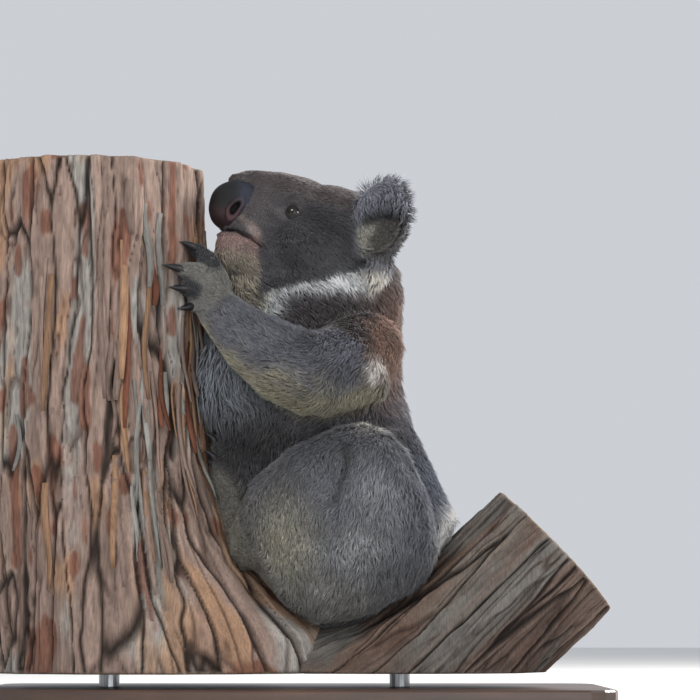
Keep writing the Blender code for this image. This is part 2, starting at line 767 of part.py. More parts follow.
def limbs(side, end, body, logs, helpers, where):
    """The arm and leg of one side, set in the body, cleared of the logs and parted at their joints."""
    whole_arm, whole_leg = arm(side, where), leg(side, where)
    make_room(whole_leg, whole_arm, helpers)
    for root in (whole_arm, whole_leg):
        set_in(root, body, helpers)
        for log in logs:
            make_room(root, log, helpers)
        keep_largest_island(root)
    above_wrist, hand = part_at(whole_arm, WRIST, side, ("above_wrist", "hand" + end), helpers, where)
    part_at(above_wrist, ELBOW, side, ("upper_arm" + end, "forearm" + end), helpers, where)
    above_ankle, foot = part_at(whole_leg, ANKLE, side, ("above_ankle", "foot" + end), helpers, where)
    part_at(above_ankle, KNEE, side, ("thigh" + end, "shin" + end), helpers, where)
    for digit in CLAWS:
        piece = claw(digit, side, "claw_" + digit + end, where)
        make_room(piece, logs[0], helpers)
        for neighbour in (hand if digit in FINGERS else foot, body):
            make_room(neighbour, piece, helpers)
    keep_largest_island(hand)
    keep_largest_island(foot)


def part_body(body, helpers, where):
    """Parts the body into head, neck, chest, belly and rump."""
    for plane, name in ((NECK_TOP, "head"), (NECK_FOOT, "neck"), (WAIST, "chest"), (LOIN, "belly")):
        part_at(body, plane, 1, (name, "rump"), helpers, where)


def main():
    clear_scene()
    koala = collection("koala")
    helpers = collection("cutters")
    logs = perch(helpers, koala)
    stand(koala)
    body = torso_and_head(koala)
    make_room(body, nose(koala), helpers)
    for side, end in ((1, "_left"), (-1, "_right")):
        limbs(side, end, body, logs, helpers, koala)
        for piece in (ear(side, "ear" + end, koala), eye(side, "eye" + end, koala)):
            make_room(body, piece, helpers)
    for log in logs:
        make_room(body, log, helpers)
    keep_largest_island(body)
    part_body(body, helpers, koala)
    for piece in koala.objects:
        dissolve_flats(piece)
        finish(piece)


if __name__ == "__main__":
    main()
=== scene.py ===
"""Koala on a tree fork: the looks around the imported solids.

One skin stands for all the flesh, thinner than the solids by the depth of the coat, and the coat is solid
tufts over it. Nose, eyes and claws are finer copies of their solids, and the perch gets real bark.

The koala faces -X and its left side faces -Y. Points of the head are also given as (forward, left, up) from
the head's middle. Lengths are in metres.
"""

import math
from contextlib import contextmanager
from itertools import product

import bmesh
import bpy
import numpy as np
from mathutils import Matrix, Vector
from mathutils.bvhtree import BVHTree
from mathutils.kdtree import KDTree


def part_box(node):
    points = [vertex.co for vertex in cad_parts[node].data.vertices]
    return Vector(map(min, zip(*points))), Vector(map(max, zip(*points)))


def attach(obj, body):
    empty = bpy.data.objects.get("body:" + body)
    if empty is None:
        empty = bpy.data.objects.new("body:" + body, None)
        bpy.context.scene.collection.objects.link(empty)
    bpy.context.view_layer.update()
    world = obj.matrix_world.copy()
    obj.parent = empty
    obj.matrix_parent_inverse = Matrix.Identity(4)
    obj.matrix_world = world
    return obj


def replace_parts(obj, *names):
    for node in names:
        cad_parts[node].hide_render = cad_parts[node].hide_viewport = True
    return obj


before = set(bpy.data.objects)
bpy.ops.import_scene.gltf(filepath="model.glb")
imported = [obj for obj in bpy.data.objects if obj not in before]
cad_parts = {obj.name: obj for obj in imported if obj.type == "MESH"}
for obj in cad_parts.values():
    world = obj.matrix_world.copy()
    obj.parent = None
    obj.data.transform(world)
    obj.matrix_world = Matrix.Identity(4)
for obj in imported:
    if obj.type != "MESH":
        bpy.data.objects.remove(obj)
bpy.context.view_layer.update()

RANDOM = np.random.default_rng(20)
SIDES = ("_left", "_right")
PAIRED = ("ear", "upper_arm", "forearm", "hand", "thigh", "shin", "foot")
FLESH = ["head", "neck", "chest", "belly", "rump"] + [part + side for part in PAIRED for side in SIDES]
CLAWS = [f"claw_finger_{i}{side}" for i in (1, 2, 3, 4, 5) for side in SIDES]
CLAWS += [f"claw_toe_{i}{side}" for i in (2, 3, 4, 5) for side in SIDES]

HEAD_MIDDLE = np.array((0.017, 0.0, 0.503))
HEAD_PITCH, HEAD_YAW = math.radians(14), math.radians(18)
HEAD_TURN = Matrix.Rotation(HEAD_YAW, 3, "Z") @ Matrix.Rotation(math.pi, 3, "Z")
HEAD_AXES = np.array(HEAD_TURN @ Matrix.Rotation(-HEAD_PITCH, 3, "Y"))  # columns: forward, left and up


# ---------------- plain arithmetic


def unit(vectors):
    return vectors / np.maximum(np.linalg.norm(vectors, axis=-1, keepdims=True), 1e-12)


def step(low, high, values):
    """0 below low, 1 above high and a smooth rise between."""
    share = np.clip((values - low) / (high - low), 0, 1)
    return share * share * (3 - 2 * share)


def bell(values, middle, width):
    """1 at the middle, and less and less on both sides of it."""
    return np.exp(-(((values - middle) / width) ** 2))


def ball(points, middle, size):
    """The same round a place."""
    return np.exp(-(((points - middle) / size) ** 2).sum(1))


def mix(first, second, share):
    """Numbers that go from first to second."""
    return first + (second - first) * share


def blend(colours, *layers):
    """Colours with others laid over them in turn: a colour, its share at each point, and so on."""
    for colour, share in zip(layers[::2], layers[1::2]):
        colours = colours + (colour - colours) * np.asarray(share)[:, None]
    return colours


def rgb(red, green, blue):
    """A screen colour of 0 to 255 as linear light."""
    screen = np.array((red, green, blue)) / 255
    return np.where(screen <= 0.04045, screen / 12.92, ((screen + 0.055) / 1.055) ** 2.4)


def lattice(cell, seed):
    """A fixed random number from 0 to 1 for each whole-numbered point."""
    x, y, z = cell.T
    mixed = (x * 374761393 + y * 668265263 + z * 362437 + seed * 974634777) & 0xFFFFFFFF
    mixed = ((mixed ^ (mixed >> 13)) * 1274126177) & 0xFFFFFFFF
    return ((mixed ^ (mixed >> 16)) & 0xFFFF) / 65535


def noise(points, seed=0):
    """Smooth noise from -1 to 1, with one bump to each unit of length."""
    cell = np.floor(points).astype(np.int64)
    share = points - cell
    share = share * share * (3 - 2 * share)
    total = np.zeros(len(points))
    for corner in product((0, 1), repeat=3):
        weight = np.prod(np.where(corner, share, 1 - share), axis=1)
        total += weight * lattice(cell + corner, seed)
    return 2 * total - 1


def cells(points, seed=0):
    """Random cells, one to a unit of space: each point's distance to the border, and its cell's number."""
    home = np.floor(points).astype(np.int64)
    first, second, own = np.full(len(points), 9.0), np.full(len(points), 9.0), np.zeros(len(points))
    for offset in product((-1, 0, 1), repeat=3):
        cell = home + offset
        middle = cell + np.stack([lattice(cell, seed + axis) for axis in range(3)], 1)
        apart = np.linalg.norm(points - middle, axis=1)
        own = np.where(apart < first, lattice(cell, seed + 3), own)
        second = np.where(apart < first, first, np.minimum(second, apart))
        first = np.minimum(first, apart)
    return second - first, own


def distance_to_line(points, line):
    """Distance of each point to a line of straight stretches."""
    best = np.full(len(points), 1e9)
    for start, end in zip(line[:-1], line[1:]):
        along = end - start
        share = np.clip(((points - start) @ along) / (along @ along), 0, 1)
        best = np.minimum(best, np.linalg.norm(points - start - share[:, None] * along, axis=1))
    return best


def in_head(points):
    """World points as (forward, left, up) from the head's middle."""
    return (points - HEAD_MIDDLE) @ HEAD_AXES


def out_of_head(places):
    return HEAD_MIDDLE + np.asarray(places) @ HEAD_AXES.T


def mirroring(points):
    """What points with a second coordinate below 0 are multiplied by to fold them onto the other side."""
    return np.where(points[:, 1:2] < 0, (1, -1, 1), (1, 1, 1))


def in_half_head(points):
    """The same with both sides folded onto the left one."""
    places = in_head(points)
    return places * mirroring(places)


# ---------------- meshes


def mesh_arrays(mesh):
    """Points and triangles of a mesh."""
    mesh.calc_loop_triangles()
    points = np.empty(len(mesh.vertices) * 3, np.float32)
    mesh.vertices.foreach_get("co", points)
    triangles = np.empty(len(mesh.loop_triangles) * 3, np.int32)
    mesh.loop_triangles.foreach_get("vertices", triangles)
    return points.reshape(-1, 3).astype(float), triangles.reshape(-1, 3)


def new_mesh(name, points, faces):
    """A smooth-shaded mesh of faces that all have as many corners."""
    mesh = bpy.data.meshes.new(name)
    mesh.vertices.add(len(points))
    mesh.vertices.foreach_set("co", points.astype(np.float32).ravel())
    mesh.loops.add(faces.size)
    mesh.loops.foreach_set("vertex_index", faces.astype(np.int32).ravel())
    mesh.polygons.add(len(faces))
    mesh.polygons.foreach_set("loop_start", np.arange(0, faces.size, faces.shape[1], dtype=np.int32))
    mesh.polygons.foreach_set("use_smooth", np.ones(len(faces), bool))
    mesh.update(calc_edges=True)
    return mesh


def new_object(mesh, *materials):
    obj = bpy.data.objects.new(mesh.name, mesh)
    bpy.context.scene.collection.objects.link(obj)
    for material in materials:
        mesh.materials.append(material)
    return obj


def paint(mesh, colours):
    """Colours each point of a mesh."""
    layer = mesh.color_attributes.new(name="Colour", type="FLOAT_COLOR", domain="POINT")
    rgba = np.ones((len(colours), 4), np.float32)
    rgba[:, :3] = np.clip(colours, 0, 1)
    layer.data.foreach_set("color", rgba.ravel())


@contextmanager
def reshaping(mesh):
    """A bmesh of a mesh, which the mesh takes over in the end."""
    shape = bmesh.new()
    shape.from_mesh(mesh)
    yield shape
    shape.to_mesh(mesh)
    shape.free()


def close(mesh, outwards=True):
    """Fills the open ends of a mesh, and turns its faces outwards unless told not to."""
    with reshaping(mesh) as shape:
        bmesh.ops.holes_fill(shape, edges=[edge for edge in shape.edges if edge.is_boundary])
        if outwards:
            bmesh.ops.recalc_face_normals(shape, faces=shape.faces)


def grid_faces(rows, columns):
    """Faces of a grid of points that closes on itself sideways."""
    start, column = (grid.ravel() for grid in np.mgrid[0 : (rows - 1) * columns : columns, 0:columns])
    right = (column + 1) % columns
    return np.stack([start + column, start + right, start + columns + right, start + columns + column], 1)


def turns(count):
    return np.arange(count) * 2 * math.pi / count


def dome(rings, columns, reach):
    """Ways out round a pole along the first axis: their angles to it, the ways, and the triangles."""
    tilt, turn = np.meshgrid(np.linspace(0, reach, rings)[1:], turns(columns), indexing="ij")
    tilt, turn = np.append(tilt, 0), np.append(turn, 0)
    way = np.stack([np.cos(tilt), np.sin(tilt) * np.cos(turn), np.sin(tilt) * np.sin(turn)], 1)
    faces = grid_faces(rings - 1, columns)
    cap = [(len(way) - 1, i, (i + 1) % columns) for i in range(columns)]
    return tilt, way, np.concatenate([faces[:, [2, 1, 0]], faces[:, [3, 2, 0]], cap])


def normals_of(points, triangles):
    corners = points[triangles]
    faces = np.cross(corners[:, 1] - corners[:, 0], corners[:, 2] - corners[:, 0])
    total = np.zeros_like(points)
    for axis, corner in product(range(3), range(3)):
        total[:, axis] += np.bincount(triangles[:, corner], faces[:, axis], len(points))
    return unit(total)


class Net:
    """The edges of a mesh, along which values spread from each point to its neighbours."""

    def __init__(self, triangles, count):
        ends = np.concatenate([triangles[:, [0, 1]], triangles[:, [1, 2]], triangles[:, [2, 0]]])
        ends = np.sort(ends.astype(np.int64), axis=1)
        keys = np.unique(ends[:, 0] * count + ends[:, 1])
        self.first, self.second = keys // count, keys % count
        self.count = count
        self.degree = np.maximum(np.bincount(np.concatenate([self.first, self.second]), minlength=count), 1)

    def mean(self, values):
        total = [
            np.bincount(self.first, column[self.second], self.count)
            + np.bincount(self.second, column[self.first], self.count)
            for column in values.reshape(self.count, -1).T
        ]
        return (np.stack(total, 1) / self.degree[:, None]).reshape(values.shape)

    def spread(self, values, rounds, share=0.5):
        for _ in range(rounds):
            values = values + (self.mean(values) - values) * share
        return values

    def even(self, points, rounds, share):
        """Smooths a shape without shrinking it: each round smooths, then swells back."""
        share = np.broadcast_to(share, len(points))[:, None]
        for _ in range(rounds):
            points = points + 0.5 * share * (self.mean(points) - points)
            points = points - 0.52 * share * (self.mean(points) - points)
        return points


def tree_of(*names):
    """A search tree over CAD nodes, and the place in names of each of its triangles."""
    points, triangles, owners = [], [], []
    for i, name in enumerate(names):
        own_points, own_triangles = mesh_arrays(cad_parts[name].data)
        triangles += (own_triangles + len(points)).tolist()
        points += own_points.tolist()
        owners += [i] * len(own_triangles)
    return BVHTree.FromPolygons(points, triangles), np.array(owners)


def remeshed(nodes, voxel, swell=0.0):
    """One closed surface round CAD nodes, on a fine grid, without the cuts between them."""
    mesh = bpy.data.meshes.new("draft")
    with reshaping(mesh) as shape:
        for node in nodes:
            shape.from_mesh(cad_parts[node].data)
        bmesh.ops.remove_doubles(shape, verts=shape.verts, dist=1e-6)
        shape.normal_update()
        for vert in shape.verts:
            vert.co += vert.normal * swell
    obj = new_object(mesh)
    modifier = obj.modifiers.new("remesh", "REMESH")
    modifier.mode = "VOXEL"
    modifier.voxel_size = voxel
    graph = bpy.context.evaluated_depsgraph_get()
    result = bpy.data.meshes.new_from_object(obj.evaluated_get(graph))
    bpy.data.objects.remove(obj)
    bpy.data.meshes.remove(mesh)
    return result


def drop_small_islands(shape):
    """Leaves a bmesh only its biggest connected piece."""
    left, best = set(shape.verts), set()
    while left:
        island, queue = set(), [left.pop()]
        while queue:
            vert = queue.pop()
            island.add(vert)
            near = {edge.other_vert(vert) for edge in vert.link_edges} & left
            left -= near
            queue += near
        best = max(best, island, key=len)
    bmesh.ops.delete(shape, geom=[vert for vert in shape.verts if vert not in best], context="VERTS")
    shape.verts.index_update()


def node_middle(name):
    low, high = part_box(name)
    return np.array((low + high) / 2)


# ---------------- the head's features

EYE = {side: node_middle("eye" + side) for side in SIDES}
EYE_RADIUS = 0.0092
EYE_LID = 0.0010  # thickness of the lids
EYE_OPENING = (0.0083, 0.0060, 0.0050)  # half width, height above and height below the corners' line
EYE_GAZE = (0.50, 0.85, 0.10)  # as (forward, outwards, up)
# The left half of the mouth's line, and of the pale stripe above it, as (forward, left, up).
MOUTH = np.array(
    [
        (0.1060, 0.000, -0.0305),
        (0.1010, 0.011, -0.0290),
        (0.0880, 0.021, -0.0285),
        (0.0730, 0.026, -0.0335),
        (0.0610, 0.029, -0.0400),
    ]
)
PALE_LIP = np.array(
    [
        (0.084, 0.023, -0.016),
        (0.075, 0.028, -0.022),
        (0.065, 0.030, -0.031),
        (0.057, 0.032, -0.038),
    ]
)
NOSE_MIDDLE, NOSE_HALF = np.array((0.080, 0.0, 0.000)), np.array((0.0385, 0.0252, 0.0285))
NOSE_ROUND, NOSE_SQUARE = 2.35, 3.2  # how square the pad is seen from the side, and from in front
NOSE_EDGE = ((-0.024, -0.012, 0.026), (0.100, 0.088, 0.079))  # up and forward along the pad's back edge
NOSTRIL = np.array((0.0975, 0.0175, -0.0060))
CHEEK_EDGE = (-0.0775, -0.566)  # height of the cheek's lower edge at forward 0.032, and its slope


def nose_size(ways):
    """How far ways reach, on a scale where the nose pad's surface is 1."""
    forward, left, up = np.abs(ways).T
    wide = (left**NOSE_SQUARE + up**NOSE_SQUARE) ** (NOSE_ROUND / NOSE_SQUARE)
    return (forward**NOSE_ROUND + wide) ** (1 / NOSE_ROUND)


def nose_level(places):
    """1 on the surface of the bare nose, and less inside it."""
    return nose_size((places - NOSE_MIDDLE) / NOSE_HALF)


def bare_nose(places):
    """1 where the head is bare nose pad, and 0 behind the pad's edge and under the brow."""
    forward, left, up = places.T
    bare = step(-0.0015, 0.0015, forward - np.interp(up, *NOSE_EDGE))
    bare = bare * step(0.0290, 0.0265, up) * step(-0.0300, -0.0275, up)
    return bare * step(1.5, 1.4, nose_level(places))


def nose_share(points):
    """True where the bare nose covers the skin."""
    place = in_half_head(points)
    return (bare_nose(place) > 0.4) | ((nose_level(place) < 0.97) & (place[:, 0] > 0.05))


def from_mouth(points):
    """Distance of world points to the line of the mouth, seen from the side of the head."""
    return distance_to_line(in_half_head(points)[:, [0, 2]], MOUTH[:, [0, 2]])


def from_eye(points, side):
    return np.linalg.norm(points - EYE[side], axis=1)


def eye_axes(side):
    """Columns: along the lids towards the outer corner, up, and the gaze."""
    sign = 1 if side == "_left" else -1
    forward, left, up = EYE_GAZE
    gaze = unit(np.array((forward, sign * left, up)) @ HEAD_AXES.T)
    outer = np.array((-0.85, sign * 0.5, -0.02)) @ HEAD_AXES.T
    outer = unit(outer - gaze * (outer @ gaze))
    up = np.cross(gaze, outer)
    return np.stack([outer, up * np.sign(up[2]), gaze], 1)


def eye_level(across, up):
    """1 on the rim of the lids' opening and less inside it."""
    half, above, below = EYE_OPENING
    return (across / half) ** 2 + np.abs(up) / np.where(up > 0, above, below)


EAR = {side: node_middle("ear" + side) for side in SIDES}
EAR_RADIUS = 0.040
EAR_RIM_DEPTH = 0.0035  # how much deeper the coat is on the rim
EAR_CUP = 0.0095  # how far the skin in the cup lies inside the solid
EAR_PULL = 0.0085  # how far the back rim lies inside the solid, as its hairs stand out


def ear_places(points, side):
    """(way out from the ear's root, distance to its middle in its own radii) for points of one ear."""
    middle = EAR[side]
    root = middle + 0.55 * (HEAD_MIDDLE + (0.04, 0, 0) - middle)
    return unit(points - root), np.linalg.norm(points - middle, axis=1) / EAR_RADIUS


def ear_facing(side):
    """The way an ear's open side faces."""
    sign = 1 if side == "_left" else -1
    return unit(np.array((0.55, sign * 0.8, 0.0)) @ HEAD_AXES.T)


# ---------------- the skin

# Depth of the coat over the skin, and the way it lies, as (x, y towards the outer side, z).
COATS = {
    "head": (0.0060, (0.8, 0.3, -0.4)),
    "neck": (0.0080, (0.5, 0.1, -0.9)),
    "chest": (0.0095, (0.25, 0.1, -1.0)),
    "belly": (0.0090, (0.15, 0.1, -1.0)),
    "rump": (0.0080, (0.0, 0.1, -1.0)),
    "ear": (0.0050, (0.6, 0.6, 0.2)),
    "upper_arm": (0.0072, (-0.35, 0.2, -0.9)),
    "forearm": (0.0056, (-0.75, -0.3, 0.45)),
    "hand": (0.0026, (-0.85, 0.0, 0.45)),
    "thigh": (0.0075, (-0.25, 0.1, -0.9)),
    "shin": (0.0062, (-0.2, 0.1, -0.95)),
    "foot": (0.0028, (-0.45, 0.0, 0.85)),
}
SKIN_VOXEL, SKIN_SWELL = 0.003, 0.0005  # the swelling closes the cuts between the nodes
FINE_RADIUS = 0.016  # of the finer faces round the eyes
SOLID_ROUNDS, SKIN_ROUNDS, LIE_ROUNDS = 24, 6, 40  # smoothing of the solids, the skin and the lie of the coat
FORK, FORK_SIZE = np.array((-0.010, 0.0, 0.085)), np.array((0.060, 0.12, 0.045))  # the coat is fuller there


class Skin:
    """Points, normals and triangles of the skin, with what the coat needs at each point."""


def refine_face(shape):
    """Cuts the faces round the eyes and the mouth finer."""
    for radius in (FINE_RADIUS, FINE_RADIUS * 0.8):
        points = np.array([vert.co for vert in shape.verts])
        near = (from_mouth(points) < radius * 0.5) & (in_head(points)[:, 0] > 0.05)
        for side in SIDES:
            near |= from_eye(points, side) < radius
        edges = [e for e in shape.edges if near[e.verts[0].index] and near[e.verts[1].index]]
        bmesh.ops.subdivide_edges(shape, edges=edges, cuts=1, use_grid_fill=True)
        shape.verts.index_update()
    bmesh.ops.triangulate(shape, faces=shape.faces)


def region_weights(points, net):
    """How far each point belongs to each kind of region, spread a little over the borders."""
    tree, owners = tree_of(*FLESH)
    kinds = list(COATS)
    kind_of = [kinds.index(name.removesuffix("_left").removesuffix("_right")) for name in FLESH]
    nearest = np.array([owners[tree.find_nearest(point)[2]] for point in points.tolist()])
    weights = np.eye(len(kinds))[np.array(kind_of)[nearest]]
    return nearest, weights, net.spread(weights, 8)


def coat_depths(skin, points, normals):
    """Depth of the coat at each point, and how far the skin lies inside the solids."""
    forward, left, up = in_half_head(points).T
    of_head = skin.soft["head"]
    muzzle = step(0.030, 0.070, forward) * of_head
    crown = step(0.015, 0.040, up) * of_head
    cheek = step(0.055, 0.0, forward) * step(0.02, -0.03, up) * of_head
    chin = step(0.050, 0.060, forward) * step(-0.028, -0.036, up) * of_head
    depth = sum(skin.soft[kind] * own for kind, (own, _) in COATS.items())
    for own, share in ((0.0042, crown * (1 - muzzle)), (0.0075, cheek), (0.0021, muzzle), (0.0030, chin)):
        depth = mix(depth, own, share)
    brow = bell(forward, 0.092, 0.014) * bell(up, 0.040, 0.012) * of_head
    inset = mix(depth * 0.9, -0.0012, crown) - 0.0016 * brow
    full = 0.9 * skin.soft["chest"] * step(-0.3, -0.8, normals[:, 0])
    full += ball(points, FORK, FORK_SIZE) * (1 - skin.soft["foot"])
    under_chin = step(0.050, 0.065, forward) * step(-0.044, -0.062, up)
    full += 1.6 * (under_chin * (1 - skin.soft["hand"] - skin.soft["forearm"])).clip(0, 1)
    depth, inset = depth + 0.003 * full, inset - 0.005 * full
    for side in SIDES:
        near_eye = step(0.022, 0.013, from_eye(points, side)) * of_head
        depth, inset = mix(depth, 0.0015, near_eye), mix(inset, 0.0014, near_eye)
        _, reach = ear_places(points, side)
        this_ear = skin.soft["ear"] * (reach < 2)
        depth = depth + EAR_RIM_DEPTH * step(0.55, 0.95, reach) * this_ear
        inset = mix(inset, 0.4 * depth, this_ear)
        cup = this_ear * step(0.2, 0.5, normals @ ear_facing(side)) * step(0.85, 0.60, reach)
        depth, inset = mix(depth, 0.0034, cup), mix(inset, EAR_CUP, cup)
    return depth, inset


def make_skin():
    skin = Skin()
    draft = remeshed([*FLESH, "nose", "eye_left", "eye_right"], SKIN_VOXEL, SKIN_SWELL)
    with reshaping(draft) as shape:
        drop_small_islands(shape)
        refine_face(shape)
    points, skin.triangles = mesh_arrays(draft)
    net = skin.net = Net(skin.triangles, len(points))
    skin.region, hard, soft = region_weights(points, net)
    skin.soft = dict(zip(COATS, soft.T))
    limp = 1 - 0.7 * (skin.soft["hand"] + skin.soft["foot"] + skin.soft["ear"]) - 0.6 * skin.soft["head"]
    points = net.even(points, SOLID_ROUNDS, np.clip(limp, 0.2, 1))
    normals = normals_of(points, skin.triangles)
    depth, inset = coat_depths(skin, points, normals)
    skin.depth = net.spread(depth, 10)
    points = points - net.spread(normals, 6) * net.spread(inset, 8)[:, None]
    points = net.even(points, SKIN_ROUNDS, np.clip(limp, 0.15, 1))
    points = under_nose_pad(skin, narrow_ears(skin, points))

    gap = from_mouth(points)
    lips = (0.0011 * bell(gap, 0.0046, 0.0024) - 0.0052 * bell(gap, 0, 0.0021)) * skin.soft["head"]
    points = points + normals_of(points, skin.triangles) * lips[:, None]
    skin.points = round_eyes(skin, points)
    skin.normals = normals_of(skin.points, skin.triangles)
    lie_of_coat(skin, hard)
    return skin


def narrow_ears(skin, points):
    """Draws the back rims of the ears in, to leave room for their long hairs."""
    for side in SIDES:
        away = points - EAR[side]
        apart = np.maximum(np.linalg.norm(away, axis=1), 0.01)
        behind = step(-0.2, 0.7, -(away @ HEAD_AXES)[:, 0] / apart)
        rim = step(0.45, 0.95, apart / EAR_RADIUS) * skin.soft["ear"] * (apart < 2 * EAR_RADIUS)
        points = points - away * (EAR_PULL * rim * behind / apart)[:, None]
    return points


def under_nose_pad(skin, points):
    """Sinks the skin under the bare nose pad, deeper away from its edge."""
    place = in_head(points)
    bare = skin.net.spread(bare_nose(in_half_head(points)) * skin.soft["head"], 1)
    from_edge = place[:, 0] - np.interp(place[:, 2], *NOSE_EDGE)
    target = mix(0.93, 0.70, step(0.003, 0.010, from_edge))
    under_pad = NOSE_MIDDLE + (place - NOSE_MIDDLE) * (target / nose_level(place))[:, None]
    return out_of_head(blend(place, under_pad, bare))


def round_eyes(skin, points):
    """Lays the skin over the eyeballs as lids, with a fold round them, and marks the lids."""
    skin.lid = np.zeros(len(points))
    for side in SIDES:
        away = points - EYE[side]
        apart = np.linalg.norm(away, axis=1)
        across, high, out = (away @ eye_axes(side)).T
        level = eye_level(across, high)
        lid = EYE_RADIUS + EYE_LID + 0.0005 * bell(level, 1.35, 0.3)
        points = np.where((apart < lid)[:, None], EYE[side] + away / apart[:, None] * lid[:, None], points)
        fold = 0.0009 * bell(level, 2.3, 0.45) * (out > 0) * (apart < 0.03)
        points = points - unit(away) * fold[:, None]
        skin.lid = np.maximum(skin.lid, (out > 0) * (apart < 0.017) * step(2.2, 1.1, level))
    return points


def lie_of_coat(skin, hard):
    """The way the coat lies at each point, spread smoothly over the whole skin."""
    way = (hard @ np.array([way for _, way in COATS.values()])) * mirroring(skin.points)
    _, left, up = in_head(skin.points).T
    back = np.stack([-np.ones(len(up)), np.sign(left) * 0.25, -0.75 * step(0.03, -0.02, up)], 1)
    of_head = hard[:, 0:1] > 0.5
    way = np.where(of_head, back @ HEAD_AXES.T, way)
    for side in SIDES:
        away = skin.points - EYE[side]
        round_eye = step(0.024, 0.010, np.linalg.norm(away, axis=1))[:, None]
        way = np.where(of_head, way + 1.2 * round_eye * unit(away), way)
        outward, _ = ear_places(skin.points, side)
        this_ear = skin.region == FLESH.index("ear" + side)
        way = np.where(this_ear[:, None], outward, way)
        cup = this_ear & (skin.normals @ ear_facing(side) > 0.3)
        way = np.where(cup[:, None], (0, 0, -1) + 0.35 * outward, way)
    for _ in range(LIE_ROUNDS):
        way = skin.net.spread(unit(flat_on(skin.normals, way)), 1)
    skin.way = unit(flat_on(skin.normals, way))


def flat_on(normals, ways):
    """Ways without the part that leaves the surface."""
    return ways - normals * (ways * normals).sum(1, keepdims=True)


# ---------------- the coat's colours

GREY = rgb(90, 90, 95)
# Soft marks on the body: middle, half size, colour and strength; the right side mirrors the left. Most are
# the coat's own markings, one is painted shade on the belly between the arm and the thigh, and one is a
# painted highlight on the pale rump.
BODY_MARKS_AND_PAINTED_LIGHT = [
    ((0.11, 0, 0.385), (0.055, 0.08, 0.055), rgb(112, 91, 83), 1),
    ((0.098, 0.06, 0.37), (0.036, 0.07, 0.06), rgb(124, 96, 83), 1.2),
    ((0.14, 0, 0.3), (0.07, 0.08, 0.05), rgb(82, 83, 92), 0.9),
    ((0.155, 0, 0.225), (0.07, 0.11, 0.055), rgb(78, 84, 98), 1),
    ((-0.08, 0, 0.34), (0.06, 0.08, 0.07), rgb(126, 132, 140), 1),
    # painted shade: the dark belly between the arm and the thigh
    ((-0.005, 0, 0.272), (0.1, 0.11, 0.036), rgb(38, 36, 39), 1.3),
    ((-0.05, 0, 0.205), (0.06, 0.07, 0.045), rgb(84, 82, 88), 0.8),
    ((0.04, 0.09, 0.405), (0.064, 0.09, 0.028), rgb(58, 51, 53), 1.2),
    ((0.06, 0.11, 0.195), (0.062, 0.06, 0.06), rgb(112, 115, 123), 0.8),
    ((0.085, 0.13, 0.215), (0.022, 0.04, 0.02), rgb(150, 153, 158), 0.7),
    ((0.066, 0.13, 0.162), (0.026, 0.04, 0.026), rgb(142, 144, 147), 0.8),
    ((0.1, 0.12, 0.125), (0.02, 0.04, 0.022), rgb(84, 88, 95), 0.7),
    ((-0.012, 0.12, 0.16), (0.03, 0.05, 0.046), rgb(156, 152, 136), 0.95),
    ((0.02, 0.11, 0.1), (0.06, 0.06, 0.03), rgb(132, 131, 126), 0.85),
    ((-0.07, 0.06, 0.18), (0.02, 0.06, 0.05), rgb(126, 121, 108), 0.8),
    # pale rump fur, painted full white as the highlight where the back light catches it
    ((0.174, 0, 0.172), (0.019, 0.11, 0.029), rgb(255, 253, 250), 2.4),
]
# Painted highlights where the back light catches the coat: the top of the thigh, the elbow and the top of the
# arm; the same columns as the marks above.
PAINTED_HIGHLIGHTS = [
    ((0.088, 0.11, 0.287), (0.022, 0.032, 0.008), rgb(226, 222, 214), 0.9),
    ((0.084, 0.11, 0.343), (0.0075, 0.05, 0.012), rgb(214, 208, 202), 0.9),
    ((0.033, 0.12, 0.391), (0.013, 0.05, 0.006), rgb(170, 166, 164), 0.8),
]
# (x, z) along lines of painted shade: in the folds of the thigh and beside the shin, and along two digits of
# each hand
CREASE_SHADE_LINES = (
    [(0.057, 0.262), (0.052, 0.236), (0.042, 0.206)],
    [(-0.064, 0.236), (-0.058, 0.190), (-0.048, 0.146)],
)
SHADED_DIGIT_LINES = ([(-0.132, 0.492), (-0.086, 0.458)], [(-0.128, 0.436), (-0.106, 0.428)])
DARK_BROWN, CHEEK, MUZZLE, EYE_CORNER = rgb(76, 68, 68), rgb(48, 48, 54), rgb(84, 77, 79), rgb(104, 97, 99)
PALE_MUZZLE, CHIN, JAW = rgb(150, 134, 128), rgb(142, 117, 112), rgb(138, 129, 115)
THROAT, BAND, BAND_WIDTH = rgb(126, 124, 113), rgb(226, 230, 231), 0.032
ARM_TOP, ARM_UNDER, ARM_DARK, RUST = rgb(88, 89, 98), rgb(134, 129, 110), rgb(64, 56, 57), rgb(118, 92, 80)
HAND, DIGIT_SHADE, FOOT, TOES = rgb(112, 111, 106), rgb(40, 41, 45), rgb(94, 90, 82), rgb(34, 33, 37)
EAR_BACK, EAR_INNER, EAR_HAIRS = rgb(84, 84, 90), rgb(96, 92, 88), rgb(158, 157, 147)
EAR_RIM, EAR_TIP_AND_HIGHLIGHT, EAR_SHADE = rgb(120, 122, 132), rgb(238, 230, 218), rgb(40, 40, 44)
LIDS, LIP_LINE = rgb(38, 33, 34), rgb(44, 32, 34)
SKIN_SHADE_UNDER_COAT = 0.62  # how much darker the skin is painted than its coat, as the shade under the coat


def marked(points, colours, marks):
    """Blends soft ellipsoids of colour into colours, markings and painted light alike; points have both sides
    folded onto the left.
    """
    for middle, half, colour, strength in marks:
        level = (((points - middle) / half) ** 2).sum(1)
        colours = blend(colours, colour, np.clip(strength * np.exp(-0.7 * level**1.3), 0, 1))
    return colours


def side_gap(points, line):
    """Distance of points to a line of (x, z), seen from the side."""
    return distance_to_line(points[:, [0, 2]], np.array(line))


